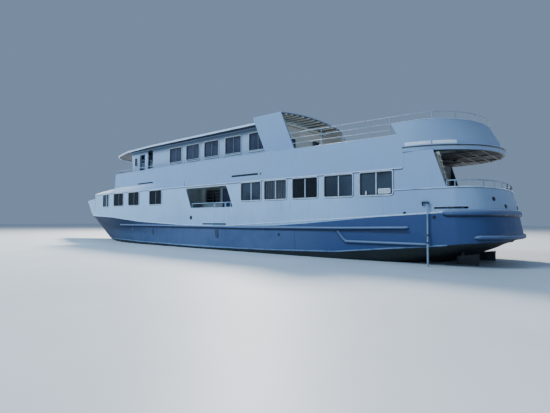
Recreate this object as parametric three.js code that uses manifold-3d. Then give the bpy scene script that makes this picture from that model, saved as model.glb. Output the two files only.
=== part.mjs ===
// Steel excursion motor yacht, 37.6 m over all, laid up afloat.
// Frame: millimetres, +X to the bow, +Y to port, +Z up.
// Origin: on the waterline, amidships, on the centreline.

import * as THREE from 'three';
import { mergeVertices } from 'three/addons/utils/BufferGeometryUtils.js';
import Module from 'manifold-3d';

const wasm = await Module();
wasm.setup();

// Driving dimensions
const HALF_BEAM = 2900;          // moulded half breadth of hull and house side
const WALL = 60;                 // plating with frames and lining
const BULWARK = 60;
const FIT = 0.3;                 // gap where two pieces touch
const RUN = 8;                   // running clearance round moving pieces
const HINGE_R = 14;

const MAIN_DECK_Z = 1950;
const FOREDECK_Z = 2450;
const BAY_DECK_Z = 1450;
const SIDE_DECK = { bottom: 3870, top: 4050 };
const UPPER_DECK = { bottom: 4430, top: 4600 };
const ROOF = { bottom: 6950, top: 7050 };
const RUB_Z = 1260;              // underside of the long rub rail
const MAIN_RAIL_Z = 2970;        // top of the main deck bulwarks
const KEEL_Z = -1450;

const SILL_Z = 2790;             // main windows
const HEAD_Z = 3735;
const UPPER_SILL_Z = 5620;       // deckhouse windows
const UPPER_HEAD_Z = 6650;

const KNUCKLE_X = 8200;          // where the house side starts to taper forward
const HOUSE_FRONT = { x: 12300, y: 2400 };
const HOUSE_AFT_X = -15200;
// Raked aft edges of the side walls; the starboard wall ends sooner
const SIDE_AFT = {
  port: { top: -16380, bottom: -16860 },
  stbd: { top: -15290, bottom: -15740 },
};
const DECKHOUSE = { y: 2000, aft: -7900, front: 6700, frontTop: 7100 };
const BAY = { inner: 1800, foreBottom: -1610, foreTop: -1120, aftBottom: -5430, aftTop: -4870,
  sill: 2455, head: 3700 };
const GATE = { aft: -4760, fore: -3840 };
const BAY_DOOR = { aft: -4142, fore: -3318 };
const FREEING_SLOTS = [[2620, 4540], [-7310, -5290], [-7540, -7460]];
const STERN_SLOT = { x: [-17580, -16900], z: [2160, 2240] };
const BAY_SCUPPER = { x: [-4860, -2770], z: [1460, 1540] };

// Plan outlines of the stern: aft end, length of the rounding, exponent
const DECK_STERN = { aft: -18130, length: 3080, power: 2.1 };
const TOP_STERN = { aft: -17600, length: 2150, power: 2.1 };

// Main windows: fore edge of each, all one width
const MAIN_WINDOW = 1452;
const FORE_WINDOWS = [8040, 5840, 3020];
const AFT_WINDOWS = [-6060, -7780, -9640, -11490, -13310];
const UPPER_WINDOW = 1340;
const WHEELHOUSE_DOOR = [5800, 6560];
const UPPER_WINDOWS = [1960, 80, -1790, -3760, -5770];

const LADDER = { y: [1700, 2100], top: [-16150, 4580], foot: [-16800, MAIN_DECK_Z] };
const STAIRWAY = { x: [-16900, -16010], y: [1560, 2180] };

// Running gear
const SHAFT = { y: 1300, z: -450, radius: 45 };
const PROP = { x: -16100, radius: 430, hub: 80, blades: 4 };
const RUDDER = { stock: -16950, fore: -16720, aft: -17560, top: 430, bottom: -1000, half: 45 };

const scene = new THREE.Group();

// Geometry helpers

function signedVolume(position, index) {
  const a = new THREE.Vector3();
  const b = new THREE.Vector3();
  const c = new THREE.Vector3();
  let sum = 0;
  for (let i = 0; i < index.length; i += 3) {
    a.fromBufferAttribute(position, index[i]);
    b.fromBufferAttribute(position, index[i + 1]);
    c.fromBufferAttribute(position, index[i + 2]);
    sum += a.dot(b.cross(c));
  }
  return sum / 6;
}

// A closed three.js geometry as a solid, its faces turned outwards
function solid(geometry) {
  const bare = geometry.clone();
  bare.deleteAttribute('normal');
  bare.deleteAttribute('uv');
  const merged = mergeVertices(bare, 1e-2);
  const index = [];
  const all = merged.index.array;
  for (let i = 0; i < all.length; i += 3) {
    const [a, b, c] = [all[i], all[i + 1], all[i + 2]];
    if (a !== b && b !== c && a !== c) index.push(a, b, c);
  }
  if (signedVolume(merged.attributes.position, index) < 0) index.reverse();
  return new wasm.Manifold(new wasm.Mesh({
    numProp: 3,
    vertProperties: new Float32Array(merged.attributes.position.array),
    triVerts: new Uint32Array(index),
  }));
}

function geometryOf(body) {
  const mesh = body.getMesh();
  const geometry = new THREE.BufferGeometry();
  geometry.setAttribute('position', new THREE.BufferAttribute(new Float32Array(mesh.vertProperties), 3));
  geometry.setIndex(new THREE.BufferAttribute(new Uint32Array(mesh.triVerts), 1));
  geometry.computeVertexNormals();
  return geometry;
}

const join = (first, ...rest) => rest.reduce((sum, part) => sum.add(part), first);
const cut = (first, ...rest) => rest.reduce((left, part) => left.subtract(part), first);

function box(x, y, z) {
  const geometry = new THREE.BoxGeometry(x[1] - x[0], y[1] - y[0], z[1] - z[0]);
  geometry.translate((x[0] + x[1]) / 2, (y[0] + y[1]) / 2, (z[0] + z[1]) / 2);
  return solid(geometry);
}

// Flat outlines pushed out: in plan (x, y), in profile (x, z) and in section (y, z)
function extruded(points, depth) {
  const shape = new THREE.Shape(points.map(([u, v]) => new THREE.Vector2(u, v)));
  return new THREE.ExtrudeGeometry(shape, { depth, bevelEnabled: false });
}

function plan(points, z) {
  return solid(extruded(points, z[1] - z[0]).translate(0, 0, z[0]));
}

function profile(points, y) {
  return solid(extruded(points, y[1] - y[0]).rotateX(Math.PI / 2).translate(0, y[1], 0));
}

const SECTION = new THREE.Matrix4().set(0, 0, 1, 0, 1, 0, 0, 0, 0, 1, 0, 0, 0, 0, 0, 1);

function section(points, x) {
  return solid(extruded(points, x[1] - x[0]).applyMatrix4(SECTION).translate(x[0], 0, 0));
}

// A straight round bar from a to b
function bar(a, b, radius, sides = 6) {
  const from = new THREE.Vector3(...a);
  const to = new THREE.Vector3(...b);
  const geometry = new THREE.CylinderGeometry(radius, radius, from.distanceTo(to), sides);
  const turn = new THREE.Quaternion().setFromUnitVectors(
    new THREE.Vector3(0, 1, 0), to.clone().sub(from).normalize());
  geometry.applyQuaternion(turn);
  geometry.translate(...from.add(to).multiplyScalar(0.5).toArray());
  return solid(geometry);
}

// A bent round bar through points
function bentBar(points, radius, steps, sides = 6) {
  const curve = new THREE.CatmullRomCurve3(points.map((p) => new THREE.Vector3(...p)), false, 'centripetal');
  const circle = new THREE.Shape();
  for (let i = 0; i < sides; i += 1) {
    const angle = (2 * Math.PI * i) / sides;
    circle[i ? 'lineTo' : 'moveTo'](radius * Math.cos(angle), radius * Math.sin(angle));
  }
  return solid(new THREE.ExtrudeGeometry(circle, { steps, extrudePath: curve, bevelEnabled: false }));
}

// Rings of equal count, skinned one to the next; each ring runs down the port side and up the
// other, so that a cap is a ladder of quads between its two halves
function loft(rings) {
  const count = rings[0].length;
  const positions = rings.flat(2);
  const index = [];
  for (let r = 0; r + 1 < rings.length; r += 1) {
    for (let i = 0; i < count; i += 1) {
      const j = (i + 1) % count;
      const [a, b] = [r * count + i, r * count + j];
      index.push(a, b, b + count, a, b + count, a + count);
    }
  }
  const cap = (start, flip) => {
    for (let i = 0; 2 * i + 2 < count; i += 1) {
      const [a, b] = [start + i, start + i + 1];
      const [d, c] = [start + count - 1 - i, start + count - 2 - i];
      const faces = b === c ? [[a, b, d]] : [[a, b, c], [a, c, d]];
      faces.forEach(([p, q, s]) => index.push(...(flip ? [p, s, q] : [p, q, s])));
    }
  };
  cap(0, true);
  cap((rings.length - 1) * count, false);
  const geometry = new THREE.BufferGeometry();
  geometry.setAttribute('position', new THREE.Float32BufferAttribute(positions, 3));
  geometry.setIndex(index);
  return solid(geometry);
}

// A plan path moved sideways: positive distances to the right of its direction
function offset(path, distance) {
  const normal = (a, b) => new THREE.Vector2(b[1] - a[1], a[0] - b[0]).normalize();
  return path.map((p, i) => {
    const before = normal(path[Math.max(i - 1, 0)], path[Math.max(i, 1)]);
    const after = normal(path[Math.min(i, path.length - 2)], path[Math.min(i + 1, path.length - 1)]);
    const mid = before.clone().add(after).normalize();
    const reach = distance / Math.max(mid.dot(after), 0.3);
    return [p[0] + mid.x * reach, p[1] + mid.y * reach];
  });
}

// A wall along a plan path: foot and head paths, z as [foot, head] or one pair for each point
function wall(foot, head, thickness, z) {
  const innerFoot = offset(foot, thickness);
  const innerHead = offset(head, thickness);
  return loft(foot.map((p, i) => {
    const [low, high] = Array.isArray(z[0]) ? z[i] : z;
    return [[...p, low], [...head[i], high], [...innerHead[i], high], [...innerFoot[i], low]];
  }));
}

// The port half of a rounded stern, from its start on the side to the centreline
function sternCurve({ aft, length, power }, half, count) {
  const points = [];
  for (let i = 0; i <= count; i += 1) {
    const angle = (Math.PI / 2) * (i / count);
    points.push([
      aft + length * (1 - Math.sin(angle) ** (2 / power)),
      half * Math.cos(angle) ** (2 / power),
    ]);
  }
  return points;
}

const mirrored = (path) => path.map(([x, y]) => [x, -y]).reverse();
const bothSides = (path) => {
  const onLine = Math.abs(path[path.length - 1][1]) < 1;
  return path.concat(mirrored(onLine ? path.slice(0, -1) : path));
};
const scaled = (body, x, y, z) => solid(geometryOf(body).scale(x, y, z));
const moved = (body, x, y, z) => solid(geometryOf(body).translate(x, y, z));
const mirror = (body) => scaled(body, 1, -1, 1);

// Butt hinges: barrels on the upright axis at [x, y], each with straps [x, y] onto the leaf
function hang(leaf, axis, straps, levels) {
  return join(leaf, ...levels.flatMap((z) => [
    bar([...axis, z - 60], [...axis, z + 60], HINGE_R, 12),
    ...straps.map(([x, y]) => box(x, y, [z - 50, z + 50])),
  ]));
}

// Materials: paint and metal of each kind of piece
const finish = (color, roughness, metalness = 0) => ({ color, roughness, metalness });
const WHITE = finish(0xc9d3dc, 0.5);
const BLUE = finish(0x35619b, 0.5);
const BOTTOM = finish(0x2a3038, 0.7);
const DECK = finish(0x8f979c, 0.8);
const RAIL = finish(0xb9c3ca, 0.45, 0.2);
const GLASS = finish(0x26303a, 0.12);
const RUBBER = finish(0x3a5f92, 0.6);
const BRONZE = finish(0x8a6a3c, 0.35, 0.9);
const DARK = finish(0x3c4248, 0.6, 0.3);
const NAVY = finish(0x25305a, 0.5);

function add(name, body, surface) {
  const mesh = new THREE.Mesh(geometryOf(body), new THREE.MeshStandardMaterial(surface));
  mesh.name = name;
  scene.add(mesh);
}

function addPair(name, body, surface) {
  add(`${name}_port`, body, surface);
  add(`${name}_stbd`, mirror(body), surface);
}

// Hull
// Each station: main deck edge [x, y], rub line [x, y], chine [x, y, z], lower chine, keel [x, z]
const STATIONS = [
  [[17036, 0], [16050, 0], [14200, 0, 150], [13000, 0, -620], [11800, -1250]],
  [[15528, 850], [14600, 740], [12900, 600, 170], [11900, 430, -650], [10800, -1250]],
  [[13812, 1600], [13000, 1420], [11500, 1180, 200], [10600, 880, -700], [9800, -1250]],
  [[11838, 2421], [11200, 2140], [9900, 1850, 220], [9200, 1400, -750], [8600, -1250]],
  [[10200, 2637], [9500, 2500], [8400, 2280, 240], [7900, 1740, -800], [7500, -1250]],
  [[8200, 2900], [7600, 2790], [6800, 2580, 240], [6500, 1980, -820], [6300, -1250]],
  [[4500, 2900], [4500, 2890], [4500, 2740, 200], [4500, 2100, -850], [4500, -1250]],
  [[-2000, 2900], [-2000, 2900], [-2000, 2780, 140], [-2000, 2150, -850], [-2000, -1250]],
  [[-8000, 2900], [-8000, 2900], [-8000, 2790, 220], [-8000, 2150, -780], [-8000, -1230]],
  [[-12000, 2900], [-12000, 2900], [-12000, 2800, 340], [-12000, 2150, -520], [-12000, -1080]],
  [[-14600, 2900], [-14600, 2900], [-14600, 2810, 600], [-14600, 2100, -60], [-14600, -700]],
  [[-16000, 2900], [-16000, 2900], [-16000, 2820, 730], [-15900, 2000, 250], [-15900, -130]],
  [[-16870, 2900], [-16870, 2900], [-16870, 2860, 820], [-16800, 1950, 520], [-16800, 210]],
  [[-17300, 2870], [-17340, 2870], [-17340, 2850, 880], [-17250, 1850, 660], [-17250, 400]],
  [[-17950, 2546], [-18020, 2546], [-18020, 2540, 940], [-17850, 1600, 800], [-17850, 640]],
  [[-18320, 1938], [-18440, 1938], [-18440, 1930, 980], [-18150, 1250, 900], [-18150, 800]],
  [[-18510, 1054], [-18640, 1054], [-18640, 1050, 1000], [-18350, 700, 935], [-18350, 870]],
  [[-18570, 380], [-18700, 380], [-18700, 376, 1010], [-18450, 260, 940], [-18450, 885]],
];
// Foredeck edge of the first stations
const FORE_EDGE = [[17750, 0], [16200, 880], [14400, 1620], [12300, 2360]];

// A smooth point between b and c at t, for nested lists of numbers
function between(a, b, c, d, t) {
  if (Array.isArray(b)) return b.map((_, i) => between(a[i], b[i], c[i], d[i], t));
  const bend = 2 * a - 5 * b + 4 * c - d;
  return b + 0.5 * t * (c - a + t * (bend + t * (3 * (b - c) + d - a)));
}

// Two more entries in each span of the curved bow and stern
const BOW_SPANS = 3;
const STERN_SPAN = 12;
function smoothed(list) {
  const last = list.length - 1;
  return list.flatMap((entry, i) => {
    if (i === last || (i >= BOW_SPANS && i < STERN_SPAN)) return [entry];
    return [0, 1 / 3, 2 / 3].map((t) => between(
      list[Math.max(i - 1, 0)], entry, list[i + 1], list[Math.min(i + 2, last)], t));
  });
}
const RINGS = smoothed(STATIONS);
const FORE_LINE = smoothed(FORE_EDGE);

const port = ([x, y, z]) => [x, y, z];
const stbd = ([x, y, z]) => [x, -y, z];

// The stern half of the hull's outline at a height between the rub line and the deck
function sternLine(z) {
  const down = (MAIN_DECK_Z - z) / (MAIN_DECK_Z - RUB_Z);
  return RINGS.filter(([deck]) => deck[0] < SIDE_AFT.port.bottom).map(([deck, rub]) => [
    deck[0] + (rub[0] - deck[0]) * down, deck[1] + (rub[1] - deck[1]) * down]);
}

function topsides() {
  const lower = loft(RINGS.map(([deck, rub, chine]) => {
    const side = [[...deck, MAIN_DECK_Z], [...rub, RUB_Z], chine];
    return [...side.map(port), ...side.map(stbd).reverse()];
  }));
  const forecastle = loft(FORE_LINE.map((edge, i) => {
    const side = [[...edge, FOREDECK_Z], [...RINGS[i][0], MAIN_DECK_Z - 1]];
    return [...side.map(port), ...side.map(stbd).reverse()];
  }));
  const house = box([11000, HOUSE_FRONT.x - 10], [-3000, 3000], [MAIN_DECK_Z, FOREDECK_Z + 100]);
  return join(lower, cut(forecastle, house));
}

function bottom() {
  const rings = RINGS.map(([, , chine, lower, keel]) => {
    const side = [[chine[0], chine[1], chine[2] - FIT], lower, [keel[0], 0, keel[1]]];
    return [...side.map(port), ...side.slice(0, 2).map(stbd).reverse()];
  });
  return loft(rings);
}

// The topsides grown by the fit all round, for what is laid against them
const HULL_CLEAR = scaled(topsides(), 1.00002, 1.0001, 1);

const ENGINE_ROOM = { x: [-11400, -8200], y: [-1500, 1500], z: [520, MAIN_DECK_Z - 70] };
const ENGINE_HATCH = { x: [-10100, -8700], y: [-700, 700], z: [MAIN_DECK_Z - 100, MAIN_DECK_Z + 100] };
const FORE_HATCH = { x: [14000, 14700], y: [-350, 350], z: [1700, FOREDECK_Z + 100] };

// Bitts: two posts and their foot, standing on the deck
function bitts(x, y, z) {
  const posts = [-170, 170].map((step) => {
    const post = new THREE.CylinderGeometry(70, 70, 420, 10).rotateX(Math.PI / 2);
    return solid(post.translate(x + step, y, z + 190));
  });
  return join(box([x - 300, x + 300], [y - 120, y + 120], [z - 20, z + 20]), ...posts);
}

{
  const wells = [ENGINE_ROOM, ENGINE_HATCH, FORE_HATCH].map(({ x, y, z }) => box(x, y, z));
  const bays = [1, -1].map((side) => {
    const y = side > 0 ? [BAY.inner, HALF_BEAM - WALL] : [WALL - HALF_BEAM, -BAY.inner];
    return box([BAY.aftBottom + WALL, BAY.foreTop - WALL], y, [BAY_DECK_Z, MAIN_DECK_Z + 100]);
  });
  const deckBitts = [
    bitts(15400, 450, FOREDECK_Z), bitts(15400, -450, FOREDECK_Z),
    bitts(-17450, 1950, MAIN_DECK_Z), bitts(-17450, -1950, MAIN_DECK_Z),
  ];
  const through = [HALF_BEAM - WALL - 1, HALF_BEAM + 100];
  const notch = box([GATE.aft - RUN, GATE.fore + RUN], through, [1500, MAIN_DECK_Z + 10]);
  const scupper = box(BAY_SCUPPER.x, through, BAY_SCUPPER.z);
  const gates = [notch, scupper].flatMap((body) => [body, mirror(body)]);
  add('hull_topsides', cut(join(topsides(), ...deckBitts), ...wells, ...bays, ...gates), BLUE);
}

{
  const keel = profile([[11000, -1200], [9500, KEEL_Z], [-12500, KEEL_Z], [-15300, KEEL_Z],
    [-15500, -700], [-15500, -300], [-13000, -900], [-9000, -1150]], [-90, 90]);
  const trunks = [SHAFT.y, -SHAFT.y].map((y) => bar([RUDDER.stock, y, RUDDER.top + 8 + FIT],
    [RUDDER.stock, y, RUDDER.top + 100], 70, 12));
  add('hull_bottom', join(bottom(), keel, ...trunks), BOTTOM);
}

// Bulwarks of the main deck
{
  const foot = [...FORE_LINE.slice(0, -1), [12326, 2350]].reverse();
  const flare = 1050;
  const head = foot.map(([x, y]) => {
    const along = (x - HOUSE_FRONT.x) / (17750 - HOUSE_FRONT.x);
    return [x + flare * along ** 1.25, y && y + 40 * (1 - along)];
  });
  add('bow_bulwark', wall(bothSides(foot), bothSides(head), BULWARK, [FOREDECK_Z + FIT, 3480]), WHITE);
}

{
  const long = [SIDE_AFT.stbd.bottom - FIT, -HALF_BEAM];
  const foot = [...bothSides(sternLine(MAIN_DECK_Z)), long].reverse();
  const head = foot.map(([x, y]) => [x < -17000 ? x + 250 * (-17000 - x) / 1500 : x, y]);
  const slot = box(STERN_SLOT.x, [2500, 3000], STERN_SLOT.z);
  const plating = wall(foot, head, BULWARK, [MAIN_DECK_Z + FIT, MAIN_RAIL_Z]);
  add('stern_bulwark', cut(plating, slot, mirror(slot)), WHITE);
}

// Main house
const mainWindow = (fore) => box([fore - MAIN_WINDOW, fore], [HALF_BEAM - 200, HALF_BEAM + 100],
  [SILL_Z, HEAD_Z]);
const SIDE_Y = [HALF_BEAM - WALL, HALF_BEAM];

// One pipe on two feet along the top of the low side of the bay
function bayRail(x) {
  const y = HALF_BEAM - 30;
  const feet = x.map((at) => bar([at, y, BAY.sill - 20], [at, y, 2745], 20));
  return join(bar([x[0], y, 2730], [x[1], y, 2730], 20), ...feet);
}

function sideAft({ top, bottom }) {
  const low = MAIN_DECK_Z + FIT;
  const step = DECKHOUSE.aft - 60 - FIT;
  const outline = [[GATE.aft - RUN, low], [GATE.aft - RUN, BAY.sill], [BAY.aftBottom, BAY.sill],
    [BAY.aftTop, BAY.head], [BAY.aftTop, SIDE_DECK.bottom - FIT], [step, SIDE_DECK.bottom - FIT],
    [step, UPPER_DECK.bottom - FIT], [top, UPPER_DECK.bottom - FIT], [bottom, MAIN_RAIL_Z], [bottom, low]];
  const panel = cut(profile(outline, SIDE_Y), ...AFT_WINDOWS.map(mainWindow));
  return join(panel, bayRail([BAY.aftBottom + 250, GATE.aft - 40]));
}

add('main_side_aft_port', sideAft(SIDE_AFT.port), WHITE);
add('main_side_aft_stbd', mirror(sideAft(SIDE_AFT.stbd)), WHITE);

{
  const low = MAIN_DECK_Z + FIT;
  const outline = [[GATE.fore + RUN, low], [KNUCKLE_X, low], [KNUCKLE_X, SIDE_DECK.bottom - FIT],
    [BAY.foreTop, SIDE_DECK.bottom - FIT], [BAY.foreTop, BAY.head - 90], [BAY.foreBottom, BAY.sill],
    [GATE.fore + RUN, BAY.sill]];
  const panel = cut(profile(outline, SIDE_Y), ...FORE_WINDOWS.map(mainWindow));
  addPair('main_side_fore', join(panel, bayRail([GATE.fore + 50, BAY.foreBottom - 120])), WHITE);
}

// Fore end of the house: tapered sides with one window each, and the front with three
{
  const path = bothSides([[KNUCKLE_X, HALF_BEAM], [HOUSE_FRONT.x, HOUSE_FRONT.y - 40],
    [HOUSE_FRONT.x + 150, 0]]);
  const shell = wall(path, path, WALL, [FOREDECK_Z + FIT, SIDE_DECK.bottom - FIT]);
  const skirt = wall(path, path, WALL, [MAIN_DECK_Z + FIT, FOREDECK_Z + 2 * FIT]);
  const sideWindow = box([9050, 10380], [-HALF_BEAM, HALF_BEAM], [SILL_Z, HEAD_Z]);
  const frontWindows = [-1350, 0, 1350].map((y) => box([12000, 12600], [y - 500, y + 500],
    [SILL_Z, HEAD_Z]));
  const step = box([12280, 13000], [-3000, 3000], [MAIN_DECK_Z - 10, FOREDECK_Z + FIT]);
  const square = box([KNUCKLE_X - 50, KNUCKLE_X + FIT], [-3000, 3000], [1900, 4000]);
  add('main_fore_end', cut(join(shell, skirt), sideWindow, ...frontWindows, step, square), WHITE);
}

{
  const inner = HALF_BEAM - WALL - FIT;
  const bulkhead = box([HOUSE_AFT_X - WALL, HOUSE_AFT_X], [-inner, inner],
    [MAIN_DECK_Z + FIT, UPPER_DECK.bottom - FIT]);
  const doorway = box([HOUSE_AFT_X - 100, HOUSE_AFT_X + 100], [-450, 450], [MAIN_DECK_Z - 10, 3950]);
  const panes = [-1, 1].map((side) => box([HOUSE_AFT_X - 100, HOUSE_AFT_X + 100],
    side > 0 ? [900, 2300] : [-2300, -900], [2900, 3735]));
  add('main_aft_bulkhead', cut(bulkhead, doorway, ...panes), WHITE);
}

// Embarkation bays: header flush with the side, inner wall with a window and a doorway, end
// walls, and the low side below the opening on both sides of the gate
{
  const headOutline = [[BAY.aftTop + FIT, BAY.head], [BAY.aftTop + FIT, SIDE_DECK.bottom - FIT],
    [BAY.foreTop - FIT, SIDE_DECK.bottom - FIT], [BAY.foreTop - FIT, BAY.head]];
  const head = profile(headOutline, SIDE_Y);
  const height = [MAIN_DECK_Z + FIT, SIDE_DECK.bottom - FIT];
  const deep = [BAY.inner - WALL, HALF_BEAM - WALL - FIT];
  const ends = [BAY.aftBottom, BAY.foreTop];
  const roof = box([ends[0], ends[1] - FIT], [deep[0], deep[1]], [BAY.head, BAY.head + 60]);
  const brow = box([BAY.aftTop + FIT, BAY.foreTop - FIT], [deep[1] - 1, HALF_BEAM - 1],
    [BAY.head, BAY.head + 60]);
  const inner = box([ends[0], ends[1] - FIT], [deep[0], BAY.inner - FIT], height);
  const endFore = box([ends[1] - WALL, ends[1] - FIT], deep, height);
  const endAft = box([ends[0], ends[0] + WALL], deep, height);
  const through = [BAY.inner - 200, BAY.inner + 100];
  const window = box([-3040, -1760], through, [2830, 3640]);
  const doorway = box([BAY_DOOR.aft - RUN, BAY_DOOR.fore + RUN], through, [MAIN_DECK_Z - 10, 3660]);
  const body = cut(join(inner, endFore, endAft, roof, brow, head), window, doorway);
  addPair('bay_recess', body, WHITE);
}

{
  const leaf = box([GATE.aft, GATE.fore], SIDE_Y, [BAY_SCUPPER.z[1] + RUN, BAY.sill]);
  const face = SIDE_Y[0];
  const straps = [
    [[GATE.aft - 6, GATE.aft + 60], [face - 22, face - FIT]],
    [[GATE.aft + 2, GATE.aft + 60], [face - 5, face + 5]],
  ];
  const hung = hang(leaf, [GATE.aft - 6, face - HINGE_R - FIT], straps, [2080, 2330]);
  addPair('gate', join(hung, bayRail([GATE.aft + 30, GATE.fore - 30])), WHITE);
}

{
  const leaf = box([BAY_DOOR.aft, BAY_DOOR.fore], [BAY.inner - 50, BAY.inner - 10],
    [MAIN_DECK_Z + 10, 3650]);
  const face = BAY.inner - WALL;
  const straps = [
    [[BAY_DOOR.aft - 6, BAY_DOOR.aft + 60], [face - 22, face - FIT]],
    [[BAY_DOOR.aft + 2, BAY_DOOR.aft + 60], [face - 5, face + 12]],
  ];
  const axis = [BAY_DOOR.aft - 6, face - HINGE_R - FIT];
  addPair('bay_door', hang(leaf, axis, straps, [2300, 3300]), NAVY);
}

// Decks
const bulwarkPlan = [[-2000, HALF_BEAM], [8900, 2400]];

{
  const stern = sternCurve(DECK_STERN, HALF_BEAM, 14);
  const slab = [UPPER_DECK.bottom, UPPER_DECK.top];
  const rise = [SIDE_DECK.bottom, UPPER_DECK.top];
  const { y, aft, front } = DECKHOUSE;
  const out = y + 60;
  const aftDeck = plan(bothSides([[aft, HALF_BEAM], ...stern]), slab);
  const houseFloor = box([aft - 10, front + 60], [-out, out], slab);
  const passage = plan(bothSides([[aft - 60, HALF_BEAM], ...bulwarkPlan, [9550, 1200], [9750, 0]]),
    [SIDE_DECK.bottom, SIDE_DECK.top]);
  const under = box([aft + 10, front], [-y, y], [SIDE_DECK.bottom - 10, UPPER_DECK.bottom]);
  const riser = join(
    box([aft - 60, aft + 10], [-HALF_BEAM, HALF_BEAM], rise),
    box([front, front + 60], [-out, out], rise),
    box([aft, front + 60], [y, out], rise),
    box([aft, front + 60], [-out, -y], rise));
  const beltPath = bothSides([[-15240 - FIT, HALF_BEAM], ...stern.slice(1)]).reverse();
  const beltOut = offset(beltPath, -40);
  const ahead = box([-15240 - FIT, -15000], [-3100, 3100], [4000, 5000]);
  const belt = cut(wall(beltOut, beltOut, 120, [UPPER_DECK.bottom, 4660]), ahead);
  const stairs = box(STAIRWAY.x, STAIRWAY.y, [4300, 4700]);
  const trough = box([aft + 10, front], [1 - y, y - 1], [3900, UPPER_DECK.bottom]);
  const deck = cut(join(cut(passage, under), houseFloor, riser, aftDeck, belt), stairs, trough);
  add('upper_deck', deck, DECK);
}

// Fore house top: sloped shelves along the foot of the upper bulwark, which widen forward and
// run into the low turtle top of the fore end
{
  const foot = SIDE_DECK.bottom + FIT;
  const inner = (x) => HALF_BEAM + FIT - (x + 2000) * (500 / 10900);
  const shelf = (x) => [
    [x, HALF_BEAM, foot], [x, HALF_BEAM, foot + 20], [x, inner(x), 4250], [x, inner(x), foot]];
  const shelves = loft([-900, KNUCKLE_X + 20].map(shelf));
  // Columns: x, outer half breadth, inner half breadth, height there, height on the centreline
  const tops = [[KNUCKLE_X, 2900, 2432, 4250, 4280], [9700, 2690, 2380, 4150, 4180],
    [11000, 2530, 2270, 4080, 4110], [12300, 2360, 2150, 3990, 4020], [12440, 1200, 1100, 3980, 3990]];
  const turtle = loft(tops.map(([x, outer, mid, high, crest]) => [
    [x, outer, foot], [x, outer, foot + 20], [x, mid, high], [x, 0, crest],
    [x, -mid, high], [x, -outer, foot + 20], [x, -outer, foot]]));
  const passage = plan(bothSides([[KNUCKLE_X - 100, 2437 + FIT], [8900 + FIT, 2400 + FIT],
    [9550 + FIT, 1200], [9750 + FIT, 0]]), [SIDE_DECK.bottom - 50, 6000]);
  add('fore_house_top', join(shelves, mirror(shelves), cut(turtle, passage)), WHITE);
}

// Bulwarks of the upper deck
const bulwarkTop = (x) => 5250 + (x + 2000) * (x < -2000 ? 90 / 12900 : 70 / 10200);

{
  const foot = { aft: UPPER_DECK.top + FIT, fore: SIDE_DECK.top + FIT };
  const step = DECKHOUSE.aft - 60;
  const path = [[-15240, HALF_BEAM], [step, HALF_BEAM], [-2000, HALF_BEAM], [8600, 2414]];
  const head = [[-14970, HALF_BEAM], ...path.slice(1)];
  const aftHalf = wall(path.slice(0, 2), head.slice(0, 2), BULWARK,
    path.slice(0, 2).map(([x]) => [foot.aft, bulwarkTop(x)]));
  const foreHalf = wall(path.slice(1), head.slice(1), BULWARK,
    path.slice(1).map(([x]) => [foot.fore, bulwarkTop(x)]));
  const joint = box([step - 0.2, step + 160], [HALF_BEAM - BULWARK, HALF_BEAM],
    [foot.aft, bulwarkTop(DECKHOUSE.aft) - 2]);
  const clear = box([step - 10, step + 70 + FIT], [2000, 3000], [4000, foot.aft]);
  const slots = FREEING_SLOTS.map((x) => box(x, [2400, 3000], [4120, 4200]));
  addPair('upper_bulwark', join(aftHalf, cut(join(foreHalf, joint), clear, ...slots)), WHITE);
}

{
  const foot = bothSides([[8600 + FIT, 2414], [8900, 2400], [9550, 1200], [9750, 0]]);
  const head = bothSides([[8600 + FIT, 2414], [8760, 2407], [9400, 1180], [9600, 0]]);
  const z = [SIDE_DECK.top + FIT, bulwarkTop(8600)];
  add('upper_bulwark_front', wall(foot, head, BULWARK, z), WHITE);
}

{
  const foot = [[-15240 - FIT, HALF_BEAM], ...sternCurve(DECK_STERN, HALF_BEAM, 12).slice(1)];
  const head = [[-14720, HALF_BEAM], ...sternCurve(TOP_STERN, HALF_BEAM, 12).slice(1)];
  const inset = (path) => offset(bothSides(path).reverse(), 2);
  add('upper_stern_bulwark', wall(inset(foot), inset(head), BULWARK, [4660 + FIT, 5640]), WHITE);
}

// Wings and canopy
{
  const foot = (x) => bulwarkTop(x) + FIT;
  const outline = [[-9730, foot(-9730)], [-7850, foot(-7850)], [-6940, 7140], [-8880, 7140]];
  addPair('wing', profile(outline, [HALF_BEAM - 80, HALF_BEAM]), WHITE);
}

{
  const CAMBER = 210;
  const crown = (y) => 7190 + CAMBER * (1 - (y / HALF_BEAM) ** 2);
  const ys = Array.from({ length: 13 }, (_, i) => HALF_BEAM - (2 * HALF_BEAM * i) / 12);
  const skin = [...ys.map((y) => [y, crown(y)]), ...ys.map((y) => [y, crown(y) - 50 + FIT]).reverse()];
  const sheet = section(skin, [-8900, -6960]);
  const ribs = ys.slice(1, -1).map((y) => section([[y - 30, crown(y) - 130], [y + 30, crown(y) - 130],
    [y + 30, crown(y) - 20], [y - 30, crown(y) - 20]], [-8860, -7000]));
  add('canopy', join(sheet, ...ribs), WHITE);
}

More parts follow.
